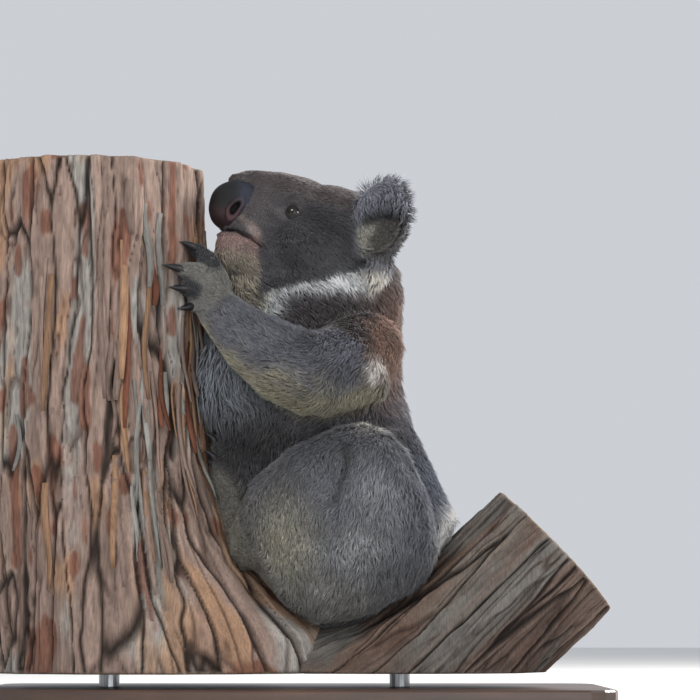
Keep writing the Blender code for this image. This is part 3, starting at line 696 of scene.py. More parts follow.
def head_colours(places, colours):
    """Brown above, dark cheeks with a sharp lower edge, a pale chin and lips, and a white band behind."""
    forward, left, up = places.T
    stray = 0.004 * noise(places / 0.012, 21)
    edge = up + stray - (CHEEK_EDGE[0] + CHEEK_EDGE[1] * (forward - 0.032))
    front = step(0.028, 0.052, forward)
    behind = np.maximum(step(-BAND_WIDTH, -BAND_WIDTH - 0.006, edge), step(-0.052, -0.072, forward))
    below = blend(BAND, THROAT, front, colours, behind * (1 - front))
    in_front = 0.8 * step(0.045, 0.075, forward) * step(0.040, 0.015, up)
    above = blend(DARK_BROWN, CHEEK, step(0.030, 0.005, up + stray), MUZZLE, in_front)
    eye = in_half_head(EYE["_left"][None])[0]
    from_corner = np.linalg.norm((places - eye - (0.012, 0, -0.002)) / (0.010, 0.02, 0.006), axis=1)
    from_lip = distance_to_line(places, PALE_LIP) + stray
    chin_edge = 0.054 + 0.0095 * step(-0.070, -0.045, up)
    chin = step(0.0, 0.006, forward + stray - chin_edge) * step(-0.029, -0.034, up)
    return blend(
        below,
        above, step(-0.002, 0.003, edge),
        EYE_CORNER, 0.6 * step(1.5, 0.6, from_corner),
        PALE_MUZZLE, 0.85 * step(0.0075, 0.0025, from_lip),
        blend(CHIN, JAW, step(-0.040, -0.058, up)), chin,
    )  # fmt: skip


def ear_colours(skin, side):
    """Brown in the cup with painted shade in its top, pale hairs along its front edge, a line of painted
    shade behind them, a grey rim and a white tip painted brighter as a highlight.
    """
    _, reach = ear_places(skin.points, side)
    height = skin.points[:, 2] - EAR[side][2]
    stray = 0.004 * noise(skin.points / (0.005, 0.005, 0.020), 22)
    forward = (in_head(skin.points) - in_head(EAR[side][None]))[:, 0] + stray
    inner = blend(
        EAR_INNER,
        EAR_HAIRS, step(0.004, 0.011, forward + 0.20 * height) * step(0.020, 0.004, height),
        # painted shade in the top of the cup, and in a line behind the pale hairs
        EAR_SHADE, step(0.010, 0.022, height + stray),
        EAR_SHADE, 0.8 * bell(reach, 0.66, 0.07) * (forward < 0),
    )  # fmt: skip
    facing = step(-0.05, 0.25, skin.normals @ ear_facing(side))
    tone = blend(EAR_BACK, inner, facing, EAR_RIM, step(0.62, 0.95, reach))
    # white hairs at the ear's lower tip, painted brighter as a highlight
    return blend(tone, EAR_TIP_AND_HIGHLIGHT, step(-0.034, -0.048, height))


def coat_colours(skin):
    """The markings at each point of the skin, with painted shade and painted highlights, for skin and coat
    alike.
    """
    points, soft = skin.points, skin.soft
    hand, foot, leg = soft["hand"], soft["foot"], soft["thigh"] + soft["shin"]
    arm = (soft["upper_arm"] + soft["forearm"]).clip(0, 1)
    body = points * mirroring(points)
    # the coat's markings, with painted shade on the belly and a painted highlight on the rump
    colours = marked(body, GREY, BODY_MARKS_AND_PAINTED_LIGHT)
    under = step(0.05, -0.55, skin.normals[:, 2] + 0.25 * noise(points / 0.016, 23))
    x, z = points[:, 0] + 0.006 * noise(points / 0.012, 25), points[:, 2]
    shoulder = step(-0.005, 0.005, z - 0.393 + 0.72 * (x - 0.036)) * step(0.0, 0.02, x)
    elbow = step(0.066, 0.088, x) * step(0.325, 0.345, z)
    colours = blend(colours, blend(ARM_TOP, ARM_UNDER, under, ARM_DARK, shoulder, RUST, elbow), arm)
    # painted highlights on the thigh, elbow and arm, then the hands' own colour
    colours = blend(marked(body, colours, PAINTED_HIGHLIGHTS), HAND, hand)
    # painted shade along two digits of each hand and in the gap between them
    for line in SHADED_DIGIT_LINES:
        gap = side_gap(points, line) + 0.003 * noise(points / 0.006, 26)
        colours = blend(colours, DIGIT_SHADE, hand * step(0.0130, 0.0050, gap))
    colours = blend(colours, FOOT, foot * 0.9)
    # painted shade in the folds of the thigh and beside the shin
    for line in CREASE_SHADE_LINES:
        colours = colours * (1 - 0.72 * leg * bell(side_gap(points, line), 0, 0.0036))[:, None]
    # painted shade in a band where the foot meets the leg
    colours = colours * (1 - 1.8 * foot * (1 - foot))[:, None]
    places = in_half_head(points)
    reach = mix(step(0.425, 0.445, z), step(0.395, 0.412, z), step(0.020, 0.045, places[:, 0]))
    colours = blend(colours, TOES, foot * step(0.225, 0.250, z))
    colours = blend(colours, head_colours(places, colours), (soft["head"] + soft["neck"] * reach).clip(0, 1))
    for side in SIDES:
        _, reach = ear_places(points, side)
        colours = blend(colours, ear_colours(skin, side), soft["ear"] * (reach < 2.25))
    mottle = 1 + 0.14 * noise(points / 0.026, 3) + 0.12 * noise(points / 0.009, 4)
    return colours * (mottle + 0.26 * arm * noise(points / 0.014, 27))[:, None]


# ---------------- the coat

TUFTS = 208000
MOST_TUFTS = 33000  # in one piece
LENGTH_TO_DEPTH = 1.85
BEND = 0.42  # the share of a tuft's length at which it is widest and bends
CLUMP_SIZE, CLUMP_REACH, CLUMP_MOVE = 14, 0.008, 0.006
PATCH = 0.003  # size of a tuft's patch on the map
# Degrees off the skin below and above the bend: on the head, how much more off it, and more on the ears.
RISE, SETTLE = (34, 10, 16), (9, 9, 19)
PALE_TIPS, DARK_TIPS = (0.86, 1.75), (0.12, 0.65)  # draws above and below which a tip is so, and its tone
ROOT_TONE, TIP_TONE = 0.50, 1.18


def tuft_width(depth):
    return 0.0006 + 0.075 * depth


def sow(skin, density, count):
    """Roots spread evenly over the skin: a triangle and the weights of its corners for each."""
    corners = skin.points[skin.triangles]
    areas = np.linalg.norm(np.cross(corners[:, 1] - corners[:, 0], corners[:, 2] - corners[:, 0]), axis=1) / 2
    ends = np.cumsum(areas * density[skin.triangles].mean(1))
    marks = (np.arange(count) + RANDOM.random(count)) * ends[-1] / count
    triangle = np.minimum(np.searchsorted(ends, marks), len(ends) - 1)
    first, second = RANDOM.random((2, len(triangle)))
    over = first + second > 1
    first, second = np.where(over, 1 - first, first), np.where(over, 1 - second, second)
    return triangle, np.stack([1 - first - second, first, second], 1)


def clump(roots, tips, pull):
    """The leader of each tuft and how far the tip is drawn to the leader's, so that locks form."""
    leaders = RANDOM.choice(len(roots), len(roots) // CLUMP_SIZE, replace=False)
    tree = KDTree(len(leaders))
    for i, leader in enumerate(leaders):
        tree.insert(roots[leader], i)
    tree.balance()
    own = leaders[[tree.find(root)[1] for root in roots]]
    near = bell(np.linalg.norm(roots[own] - roots, axis=1), 0, CLUMP_REACH)
    return own, np.clip((tips[own] - tips) * (pull * near)[:, None], -CLUMP_MOVE, CLUMP_MOVE)


def tuft_mesh(name, spine, side, out, width, root, tip, uv):
    """Closed leaf-shaped tufts along spines of root, bend and tip, as one mesh."""
    angles = np.radians((90, 210, 330))
    ring = np.cos(angles)[None, :, None] * side[:, None] + 0.6 * np.sin(angles)[None, :, None] * out[:, None]
    ring = spine[:, 1, None] + ring * (width / 2)[:, None, None]
    points = np.concatenate([spine[:, :1], ring, spine[:, 2:]], axis=1)
    faces = np.array([face for i, j in ((1, 2), (2, 3), (3, 1)) for face in ((0, i, j), (4, j, i))])
    everything = (faces[None] + 5 * np.arange(len(spine))[:, None, None]).reshape(-1, 3)
    mesh = new_mesh(name, points.reshape(-1, 3), everything)
    share = np.array((0, BEND, BEND, BEND, 1))
    local = (np.stack([(0.5, 0.5, 0, 1, 0.5), share], 1) - 0.5) * PATCH
    corners = np.clip(uv[:, None] + local[None], 0, 1).reshape(-1, 2)[everything.ravel()]
    mesh.uv_layers.new(name="OFBake").data.foreach_set("uv", corners.astype(np.float32).ravel())
    tone = root[:, None] + (tip - root)[:, None] * (share**0.7)[None, :, None]
    paint(mesh, tone.reshape(-1, 3))
    return mesh


def grow_coat(skin, colours, material):
    """All the tufts of the koala, in pieces small enough to handle."""
    depth = skin.depth.clip(0.0012, None)
    bare = np.maximum(skin.lid * 0.95, step(0.0034, 0.0022, from_mouth(skin.points)) * skin.soft["head"])
    tuft_area = 0.5 * depth * LENGTH_TO_DEPTH * tuft_width(depth)
    density = (1 - bare) * (1 - nose_share(skin.points)) / tuft_area
    triangle, weights = sow(skin, density, TUFTS)
    count = len(triangle)

    def at(values):
        picked = values[skin.triangles[triangle]]
        return (picked * weights.reshape(weights.shape + (1,) * (values.ndim - 1))).sum(1)

    root, out, way = at(skin.points), unit(at(skin.normals)), unit(at(skin.way))
    own_depth, ear, head = at(depth), at(skin.soft["ear"]), at(skin.soft["head"])
    swirl = 0.40 * noise(root / 0.035, 7) + 0.45 * noise(root / 0.010, 8) + RANDOM.normal(0, 0.26, count)
    swirl = (swirl * (1 - 0.45 * head))[:, None]
    way = unit(flat_on(out, unit(way * np.cos(swirl) + np.cross(way, out) * np.sin(swirl))))

    def reaching(length, degrees, low, high):
        everywhere, woolly, on_ear = degrees
        angle = np.radians(everywhere + woolly * (1 - head) + on_ear * ear) * RANDOM.uniform(low, high, count)
        return length[:, None] * (way * np.cos(angle)[:, None] + out * np.sin(angle)[:, None])

    own_length = own_depth * LENGTH_TO_DEPTH * RANDOM.uniform(0.75, 1.2, count)
    root = root - out * 0.0005
    middle = root + reaching(BEND * own_length, RISE, 0.8, 1.15)
    tip = middle + reaching((1 - BEND) * own_length, SETTLE, 0.3, 1.5)
    own, gather = clump(root, tip, 0.34 - 0.12 * head)
    spine = np.stack([root, middle + 0.3 * gather, tip + gather], 1)
    own_width = tuft_width(own_depth) * RANDOM.uniform(0.8, 1.2, count)

    alone, shared = (RANDOM.normal(0, 1, count).clip(-2, 2) for _ in range(2))
    base = at(colours) * (1 + 0.13 * alone + 0.08 * shared[own]).clip(0.45, 1.6)[:, None]
    frost = RANDOM.random(count)
    tip_tone = np.select([frost > PALE_TIPS[0], frost < DARK_TIPS[0]], [PALE_TIPS[1], DARK_TIPS[1]], TIP_TONE)
    ends = base * ROOT_TONE, (base * tip_tone[:, None]).clip(0, 0.85)
    uv = (skin.uv.reshape(-1, 3, 2)[triangle] * weights[:, :, None]).sum(1)
    tufts = (spine, np.cross(way, out), out, own_width, *ends, uv)

    region = skin.region[skin.triangles[triangle, 0]]
    pieces = []
    for number, name in enumerate(FLESH):
        of_this = np.flatnonzero(region == number)
        lots = math.ceil(len(of_this) / MOST_TUFTS)
        for lot in range(lots):
            some = of_this[lot * MOST_TUFTS : (lot + 1) * MOST_TUFTS]
            title = f"coat_{name}" + (f"_{lot + 1}" if lots > 1 else "")
            mesh = tuft_mesh(title, *(values[some] for values in tufts))
            pieces.append(new_object(mesh, material))
    return pieces


def unwrap(mesh):
    """Unfolds the skin's own shape, and returns its object and the place of each triangle's corners."""
    obj = new_object(mesh)
    bpy.context.view_layer.objects.active = obj
    obj.select_set(True)
    mesh.uv_layers.new(name="OFBake")
    bpy.ops.object.mode_set(mode="EDIT")
    bpy.ops.mesh.select_all(action="SELECT")
    bpy.ops.uv.smart_project(angle_limit=math.radians(70), island_margin=0.002)
    bpy.ops.object.mode_set(mode="OBJECT")
    uv = np.empty(len(mesh.loops) * 2, np.float32)
    mesh.uv_layers["OFBake"].data.foreach_get("uv", uv)
    return obj, uv.reshape(-1, 2).astype(float)


def open_eyes(mesh):
    """Cuts the lids' openings in the skin and turns their rims in to the eyeballs."""
    half, above, below = EYE_OPENING
    lid = EYE_RADIUS + EYE_LID
    with reshaping(mesh) as shape:
        for side in SIDES:
            middle, axes = EYE[side], eye_axes(side)
            points = np.array([vert.co for vert in shape.verts])
            across, high, out = ((points - middle) @ axes).T
            inside = (eye_level(across, high) < 0.93) & (out > 0) & (from_eye(points, side) < 0.016)
            gone = [face for face in shape.faces if any(inside[vert.index] for vert in face.verts)]
            bmesh.ops.delete(shape, geom=gone, context="FACES")
            rim = [edge for edge in shape.edges if edge.is_boundary]
            near = [edge for edge in rim if (Vector(middle) - edge.verts[0].co).length < 0.02]
            for vert in {vert for edge in near for vert in edge.verts}:
                x, y, _ = (np.array(vert.co) - middle) @ axes
                square, straight = (x / half) ** 2, abs(y) / (above if y > 0 else below)
                scale = 2 / (straight + math.sqrt(straight**2 + 4 * square))
                x, y = x * scale, y * scale
                vert.co = middle + axes @ np.array((x, y, math.sqrt(lid**2 - x * x - y * y)))
            for depth, inward in ((EYE_RADIUS + 0.0004, 0.97), (EYE_RADIUS - 0.002, 0.99)):
                made = bmesh.ops.extrude_edge_only(shape, edges=near)["geom"]
                for vert in (g for g in made if isinstance(g, bmesh.types.BMVert)):
                    way = unit(((np.array(vert.co) - middle) @ axes) * (inward, inward, 1))
                    vert.co = middle + axes @ (way * depth)
                near = [g for g in made if isinstance(g, bmesh.types.BMEdge) and g.is_boundary]
            shape.verts.index_update()
        bmesh.ops.recalc_face_normals(shape, faces=shape.faces)
        for face in shape.faces:
            face.smooth = True


# ---------------- materials


class Nodes:
    """A short way to write a material's nodes."""

    def __init__(self, name, roughness, **settings):
        self.material = bpy.data.materials.new(name)
        self.material.use_nodes = True
        self.tree = self.material.node_tree
        self.shader = self.tree.nodes["Principled BSDF"]
        self.fill(self.shader, Roughness=roughness, **settings)

    def fill(self, node, **inputs):
        for socket, value in inputs.items():
            self.put(node.inputs[socket.replace("_", " ")], value)
        return node

    def put(self, socket, value):
        if isinstance(value, bpy.types.NodeSocket):
            self.tree.links.new(value, socket)
        else:
            socket.default_value = value

    def add(self, kind, settings=(), **inputs):
        node = self.tree.nodes.new("ShaderNode" + kind)
        for key, value in dict(settings).items():
            setattr(node, key, value)
        return self.fill(node, **inputs)

    def ramp(self, factor, *stops):
        """Colours, or tones where a stop is a number, along a factor."""
        node = self.add("ValToRGB", Fac=factor)
        elements = node.color_ramp.elements
        while len(elements) < len(stops):
            elements.new(0.5)
        for element, (place, colour) in zip(elements, stops):
            element.position = place
            element.color = (*np.broadcast_to(colour, 3), 1)
        return node.outputs["Color"]

    def places(self, scale=(1, 1, 1)):
        coordinates = self.add("TexCoord").outputs["Object"]
        return self.add("Mapping", Vector=coordinates, Scale=scale).outputs["Vector"]

    def noise(self, scale, detail=4, stretch=(1, 1, 1), roughness=0.55):
        settings = {"Vector": self.places(stretch), "Scale": scale, "Detail": detail, "Roughness": roughness}
        return self.add("TexNoise", **settings).outputs["Fac"]

    def mixed(self, factor, first, second, kind="MIX"):
        node = self.add("Mix", {"data_type": "RGBA", "blend_type": kind})
        for number, value in ((0, factor), (6, first), (7, second)):
            self.put(node.inputs[number], value)
        return node.outputs[2]

    def bump(self, height, distance, strength=1.0):
        node = self.add("Bump", Height=height, Distance=distance, Strength=strength)
        self.put(self.shader.inputs["Normal"], node.outputs["Normal"])

    def colour(self, value):
        self.put(self.shader.inputs["Base Color"], value)
        return self.material

    def painted(self, tint=None):
        """The mesh's own colours, with a tint over them."""
        own = self.add("Attribute", {"attribute_name": "Colour"}).outputs["Color"]
        return self.colour(own if tint is None else self.mixed(1.0, own, tint, "MULTIPLY"))


def coat_material():
    return Nodes("coat", 0.72, Sheen_Weight=0.25, Sheen_Roughness=0.45, Specular_IOR_Level=0.25).painted()


def skin_material():
    nodes = Nodes("skin", 0.7, Specular_IOR_Level=0.3)
    nodes.bump(nodes.noise(900, 3), 0.0004, 0.6)
    return nodes.painted()


def nose_material():
    nodes = Nodes("nose_pad", 0.60, Specular_IOR_Level=0.28)
    pebbles = nodes.add("TexVoronoi", {"feature": "F1"}, Scale=950.0, Vector=nodes.places())
    nodes.bump(pebbles.outputs["Distance"], 0.0007, 0.7)
    return nodes.painted(nodes.ramp(nodes.noise(500, 3), (0.35, 0.75), (0.65, 1.2)))


def eye_material():
    return Nodes("eye", 0.10, Coat_Weight=0.25, Coat_Roughness=0.03, Specular_IOR_Level=0.3).painted()


def claw_material():
    nodes = Nodes("claw", 0.40, Specular_IOR_Level=0.4)
    streaks = nodes.noise(260, 4, (1, 1, 0.25))
    nodes.bump(streaks, 0.0003, 0.5)
    return nodes.painted(nodes.ramp(streaks, (0.35, 0.7), (0.7, 1.5)))


def bark_material():
    nodes = Nodes("bark", 0.88, Specular_IOR_Level=0.2)
    fibres = nodes.noise(620, 5, (1, 1, 0.10), 0.65)
    nodes.bump(nodes.mixed(0.3, fibres, nodes.noise(1300, 3)), 0.0012, 0.9)
    tint = nodes.ramp(fibres, (0.30, (0.66, 0.64, 0.62)), (0.50, 1.0), (0.72, (1.30, 1.27, 1.22)))
    return nodes.painted(tint)


def stand_wood_material():
    nodes = Nodes("stand_wood", 0.38, Coat_Weight=0.25, Coat_Roughness=0.25)
    nodes.bump(nodes.noise(420, 4, (0.04, 1, 1)), 0.0003, 0.5)
    grain = nodes.noise(38, 6, (0.12, 1, 1), 0.6)
    tint = nodes.ramp(grain, (0.30, rgb(38, 24, 17)), (0.52, rgb(66, 43, 30)), (0.72, rgb(92, 62, 43)))
    return nodes.colour(tint)


def stand_steel_material():
    nodes = Nodes("stand_steel", 0.30, Metallic=1.0)
    brushing = nodes.noise(900, 2, (1, 1, 0.02))
    nodes.bump(brushing, 0.0002, 0.35)
    return nodes.colour(nodes.ramp(brushing, (0.3, rgb(158, 160, 163)), (0.7, rgb(206, 208, 210))))


def floor_material():
    nodes = Nodes("floor", 0.8)
    return nodes.colour(nodes.ramp(nodes.noise(3, 2), (0.3, (0.70, 0.70, 0.69)), (0.7, (0.74, 0.74, 0.73))))


# ---------------- nose, eyes and claws


def make_nose(material):
    """The bare nose pad: a blunt dome with comma-shaped nostrils and a furrow down the front."""
    columns = 150
    _, way, triangles = dome(110, columns, 0.62 * math.pi)
    triangles[-columns:] = triangles[-columns:, ::-1]  # the cap at the tip faces inwards
    local = NOSE_MIDDLE + way / nose_size(way)[:, None] * NOSE_HALF
    forward, left, up = (local * mirroring(local)).T
    bend = 0.0050 * step(-0.012, 0.006, up)
    level = ((forward - NOSTRIL[0] + bend) / 0.0042) ** 2 + ((up - NOSTRIL[2]) / 0.0090) ** 2
    outside = step(0.006, 0.010, left)
    hole = step(1.0, 0.30, level) * outside
    wing = bell(level, 2.2, 1.0) * outside * step(0.016, -0.004, up)
    furrow = bell(left, 0, 0.0010) * step(0.100, 0.108, forward) * step(0.002, -0.006, up)
    lump = 0.0006 * noise(local / 0.011, 31)
    lift = 0.0017 * wing - 0.0065 * hole - 0.0011 * furrow + lump
    local = local + normals_of(local, triangles) * lift[:, None]
    colours = blend(
        rgb(36, 40, 51),
        rgb(11, 11, 14), step(0.088, 0.104, forward),
        rgb(48, 33, 37), 0.8 * step(-0.001, -0.015, up),
        rgb(84, 50, 52), 0.55 * bell(level, 1.6, 0.5) * outside * step(0.012, -0.004, up),
        rgb(12, 8, 9), step(0.05, 0.5, hole),
    )  # fmt: skip
    mesh = new_mesh("nose_pad", out_of_head(local), triangles)
    close(mesh, outwards=False)
    paint(mesh, colours * (1 + 0.12 * noise(local / 0.004, 32))[:, None])
    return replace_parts(new_object(mesh, material), "nose")


def make_eye(side, material):
    """An eyeball with a bulging cornea, a brown iris and an upright slit of a pupil."""
    tilt, way, triangles = dome(56, 72, 0.8 * math.pi)
    radius = EYE_RADIUS * (1 + 0.035 * np.exp(-((tilt / 0.55) ** 4)))
    local = way[:, [1, 2, 0]] * radius[:, None]
    mesh = new_mesh("eyeball" + side, EYE[side] + local @ eye_axes(side).T, triangles)
    close(mesh)
    across, high, _ = local.T
    apart, turn = np.hypot(across, high), np.arctan2(high, across)
    streaks = 0.5 + 0.5 * np.sin(turn * 31 + 2 * np.sin(turn * 7))
    colours = blend(
        rgb(22, 15, 11),
        rgb(38, 25, 17), streaks * step(0.002, 0.005, apart),
        rgb(16, 12, 11), step(0.0044, 0.0056, apart),
        rgb(5, 4, 4), step(1.15, 0.85, (across / 0.0011) ** 2 + (high / 0.0040) ** 2),
    )  # fmt: skip
    paint(mesh, colours)
    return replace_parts(new_object(mesh, material), "eye" + side)


def make_claw(name, material):
    """A curved horn through the three rings of the CAD claw, smooth and sharp."""
    ring = 5  # corners of a ring
    points = np.unique(np.round(mesh_arrays(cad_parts[name].data)[0], 5), axis=0)
    gaps = np.sort(np.linalg.norm(points[:, None] - points[None], axis=2), axis=1)
    at_tip = points[np.argmin(gaps[:, 1:ring].sum(1))]
    points = points[np.argsort(np.linalg.norm(points - at_tip, axis=1))]
    tip, middle, base = (points[i : i + ring].mean(0) for i in (0, ring, 2 * ring))
    thick = np.linalg.norm(points[2 * ring :] - base, axis=1).mean() * 1.45
    control = 2 * middle - (base + tip) / 2
    start = base - unit(control - base) * 0.002
    rows, columns = 18, 14
    t = np.linspace(0, 1, rows)[:, None]
    spine = (1 - t) ** 2 * start + 2 * t * (1 - t) * control + t * t * tip
    bend = unit(np.cross(tip - base, middle - base) + 1e-9)
    up = np.cross(unit(np.gradient(spine, axis=0)), bend)
    size = thick * (1 - t**2) * (1 - 0.15 * t) + 0.00015
    turn = turns(columns)[:, None]
    rings = spine[:, None] + size[:, None] * (1.08 * np.cos(turn) * up[:, None] + 0.80 * np.sin(turn) * bend)
    mesh = new_mesh(name + "_horn", rings.reshape(-1, 3), grid_faces(rows, columns))
    close(mesh)
    paint(mesh, blend(rgb(46, 42, 42), rgb(21, 21, 25), step(0.0, 0.6, np.repeat(t, columns))))
    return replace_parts(new_object(mesh, material), name)


# ---------------- the perch

TRUNK_MIDDLE, LIMB_SLOPE = np.array((-0.225, 0, 0.3)), math.radians(44)
# The way the wood grows, a point on its axis, and the size of the mesh's cells.
TRUNK = np.array((0.0, 0.0, 1.0)), TRUNK_MIDDLE, 0.0022
LIMB = np.array((math.cos(LIMB_SLOPE), 0, math.sin(LIMB_SLOPE))), np.array((0.170, 0, 0.058)), 0.0018
# Size of the pieces of bark (across, across, along the wood), depth of the cracks round them, their relief.
BARK_PLATE, PLATE_CRACK, PLATE_RELIEF = (0.027, 0.027, 0.36), 0.0042, 0.0034
BARK_STRIP, STRIP_CRACK, STRIP_RELIEF = (0.0112, 0.0112, 0.15), 0.0022, 0.0022
FIBRE_RELIEF = 0.0006
BARK_TAN, BARK_GREY, BARK_ORANGE = rgb(142, 122, 112), rgb(150, 147, 142), rgb(158, 124, 98)
BARK_RUST, STRIP_CRACK_SHADE, PLATE_CRACK_SHADE = rgb(116, 74, 58), rgb(76, 58, 51), rgb(34, 26, 23)
BARK_PATCHES = ((0.035, 0.035, 0.110), (0.022, 0.022, 0.090), (0.012, 0.012, 0.040))
# Where the bark swells in the fork under the koala: place, size and height.
FORK_SWELLS = [
    ((-0.030, 0.0, 0.115), (0.040, 0.09, 0.040), 0.009),
    ((0.008, 0.0, 0.066), (0.040, 0.10, 0.032), 0.016),
]
END_CRACKS = 7
RIBBONS, RIBBON_ROWS, RIBBON_THICK, RIBBON_CLEARANCE = 90, 9, 0.0014, 0.006
RIBBON_TONES = (BARK_TAN, BARK_TAN, BARK_GREY, BARK_ORANGE, BARK_ORANGE, BARK_RUST)


def bark(local, rusty, seed):
    """Relief and colour of stringy bark at points whose third coordinate runs along the wood."""
    warp = [noise(local / (0.050, 0.050, 0.110), seed + i) for i in range(3)]
    bent = local + np.stack(warp, 1) * (0.011, 0.011, 0.030)
    jitter = [noise(local / (0.0055, 0.0055, 0.022), seed + 4 + i) for i in range(2)]
    bent[:, :2] += 0.0016 * np.stack(jitter, 1)
    plate_edge, plate = cells(bent / BARK_PLATE, seed + 10)
    strip_edge, strip = cells(bent / BARK_STRIP, seed + 20)
    fibre = noise(bent / (0.0026, 0.0026, 0.050), seed + 30)
    flake = noise(bent / (0.0042, 0.0042, 0.013), seed + 36)
    open_here = 0.25 + 0.75 * step(-0.25, 0.25, noise(bent / (0.030, 0.030, 0.055), seed + 37))
    plate_crack, strip_crack = step(0.10, 0.0, plate_edge), step(0.14, 0.0, strip_edge) * open_here
    height = PLATE_RELIEF * (plate - 0.5) - PLATE_CRACK * plate_crack
    height += STRIP_RELIEF * (strip - 0.5) - STRIP_CRACK * strip_crack * (1 - plate_crack)
    height += FIBRE_RELIEF * (fibre + flake)
    grey, orange, rust = (noise(bent / size, seed + 31 + i) for i, size in enumerate(BARK_PATCHES))
    colours = blend(
        BARK_TAN,
        BARK_GREY, 0.9 * step(0.05, 0.35, grey + 0.4 * (plate - 0.5)),
        BARK_ORANGE, rusty * step(0.15, 0.45, orange + 0.3 * (strip - 0.5)),
        BARK_RUST, rusty * step(0.30, 0.50, rust + 0.3 * (0.3 - strip)),
    )  # fmt: skip
    tone = 1 + 0.14 * fibre + 0.20 * (strip - 0.5) + 0.16 * flake + 0.10 * noise(local / 0.008, seed + 35)
    # painted shade in the cracks round the strips and the plates
    colours = blend(colours * tone[:, None], STRIP_CRACK_SHADE, 0.60 * strip_crack, PLATE_CRACK_SHADE, 0.92 * plate_crack)
    return height, colours


def end_grain(local):
    """Colours of a sawn end: uneven rings of growth round the pith, and cracks that run out from it."""
    radius, angle = np.hypot(local[:, 0], local[:, 1]), np.arctan2(local[:, 1], local[:, 0])
    grown = radius * (1 + 0.10 * noise(local / 0.07, 40)) + 0.0015 * noise(local / 0.012, 41)
    rings = noise(np.column_stack([grown / 0.0034, 0 * grown, 0 * grown]), 42)
    colours = blend(rgb(102, 89, 77), rgb(134, 119, 102), 0.5 + 0.5 * rings)
    for number in range(END_CRACKS):
        way = 2 * math.pi * (number + 0.7 * math.sin(5 * number)) / END_CRACKS
        length = 0.035 + 0.055 * (number * 0.618 % 1)
        turned = angle - way + 0.10 * noise(local / 0.025, 43)
        apart = np.abs((turned + math.pi) % (2 * math.pi) - math.pi)
        crack = step(0.0022, 0.0006, apart * radius + 0.0014 * radius / length)
        crack = crack * step(length, length - 0.01, radius)
        colours = blend(colours, rgb(50, 42, 37), 0.85 * crack)
    return colours * (1 + 0.15 * noise(local / 0.03, 44))[:, None]


def wood_piece(name, node, wood, shade, rusty, seed, material):
    """A length of tree: its CAD solid smoothed, with bark in relief and plain sawn ends."""
    along, through, voxel = wood
    points, triangles = mesh_arrays(remeshed([node], voxel))
    net = Net(triangles, len(points))
    normals = normals_of(points, triangles)
    across = unit(np.cross((0, 1, 0), along))
    local = np.stack([(points - through) @ across, points[:, 1] - through[1], (points - through) @ along], 1)
    sawn = net.spread(step(0.80, 0.92, np.abs(normals @ along)), 2)
    bottom = step(0.033, 0.029, points[:, 2]) * step(0.6, 0.9, -normals[:, 2])
    barky = (1 - sawn) * (1 - bottom)
    points = net.even(points, 10, barky)
    from_axis = np.hypot(local[:, 0], local[:, 1])
    squeeze = np.median(from_axis[barky > 0.5]) / from_axis
    height, colours = bark(local * np.stack([squeeze, squeeze, np.ones(len(local))], 1), rusty, seed)
    for place, size, most in FORK_SWELLS:
        height = height + most * ball(points, place, size)
    points = points + net.spread(normals, 3) * (height * barky + 0.0010)[:, None]
    # painted shade in the bark's hollows and painted light on its ridges
    hollow = ((net.spread(points, 10) - points) * normals_of(points, triangles)).sum(1)
    light = 1 - 0.32 * step(0.0, 0.0018, hollow) + 0.15 * step(0.0, -0.0014, hollow)
    mesh = new_mesh(name, points, triangles)
    paint(mesh, blend(colours * shade * light[:, None], end_grain(local), sawn))
    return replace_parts(new_object(mesh, material), node)


def ribbon(draws, surface, animal):
    """Corners and colours of one strip of bark that peels off the trunk, or None where it has no room."""
    share = np.linspace(0, 1, RIBBON_ROWS)
    angle = math.radians(draws.uniform(-75, 30) if draws.random() < 0.7 else draws.uniform(0, 360))
    top, length = draws.uniform(0.20, 0.545), draws.uniform(0.05, 0.15)
    width, lift, twist = draws.uniform(0.004, 0.010), draws.uniform(0.001, 0.009), draws.uniform(-0.9, 0.9)
    sway = 0.003 * np.sin(draws.uniform(0, 6) + share * draws.uniform(2, 6))
    tone = RIBBON_TONES[draws.integers(len(RIBBON_TONES))] * draws.uniform(0.6, 1.0)
    out = np.array((math.cos(angle), math.sin(angle), 0))
    side = np.array((-out[1], out[0], 0))
    heights = top - length * share
    if heights[-1] < 0.07:
        return None
    axis = np.array([(*TRUNK_MIDDLE[:2], height) for height in heights])
    hits = [surface.ray_cast(place, out)[3] or 0.1 for place in axis.tolist()]
    radius = np.convolve(np.pad(hits, 1, mode="edge"), (0.3, 0.4, 0.3), "valid") + lift * share**2 + 0.0006
    spine = axis + out * radius[:, None] + side * sway[:, None]
    if min(animal.find_nearest(point)[3] for point in spine.tolist()) < RIBBON_CLEARANCE:
        return None
    turn = (twist * share)[:, None]
    half = width / 2 * (0.75 + 0.5 * share - 0.75 * share**4)
    across = (side * np.cos(turn) + out * np.sin(turn)) * half[:, None]
    outward = (out * np.cos(turn) - side * np.sin(turn)) * RIBBON_THICK / 2
    corners = [spine + x * across + y * outward for x, y in ((1, 1), (-1, 1), (-1, -1), (1, -1))]
    shades = np.repeat(1 - 0.25 * draws.random(RIBBON_ROWS), len(corners))
    return np.stack(corners, 1).reshape(-1, 3), tone * shades[:, None]


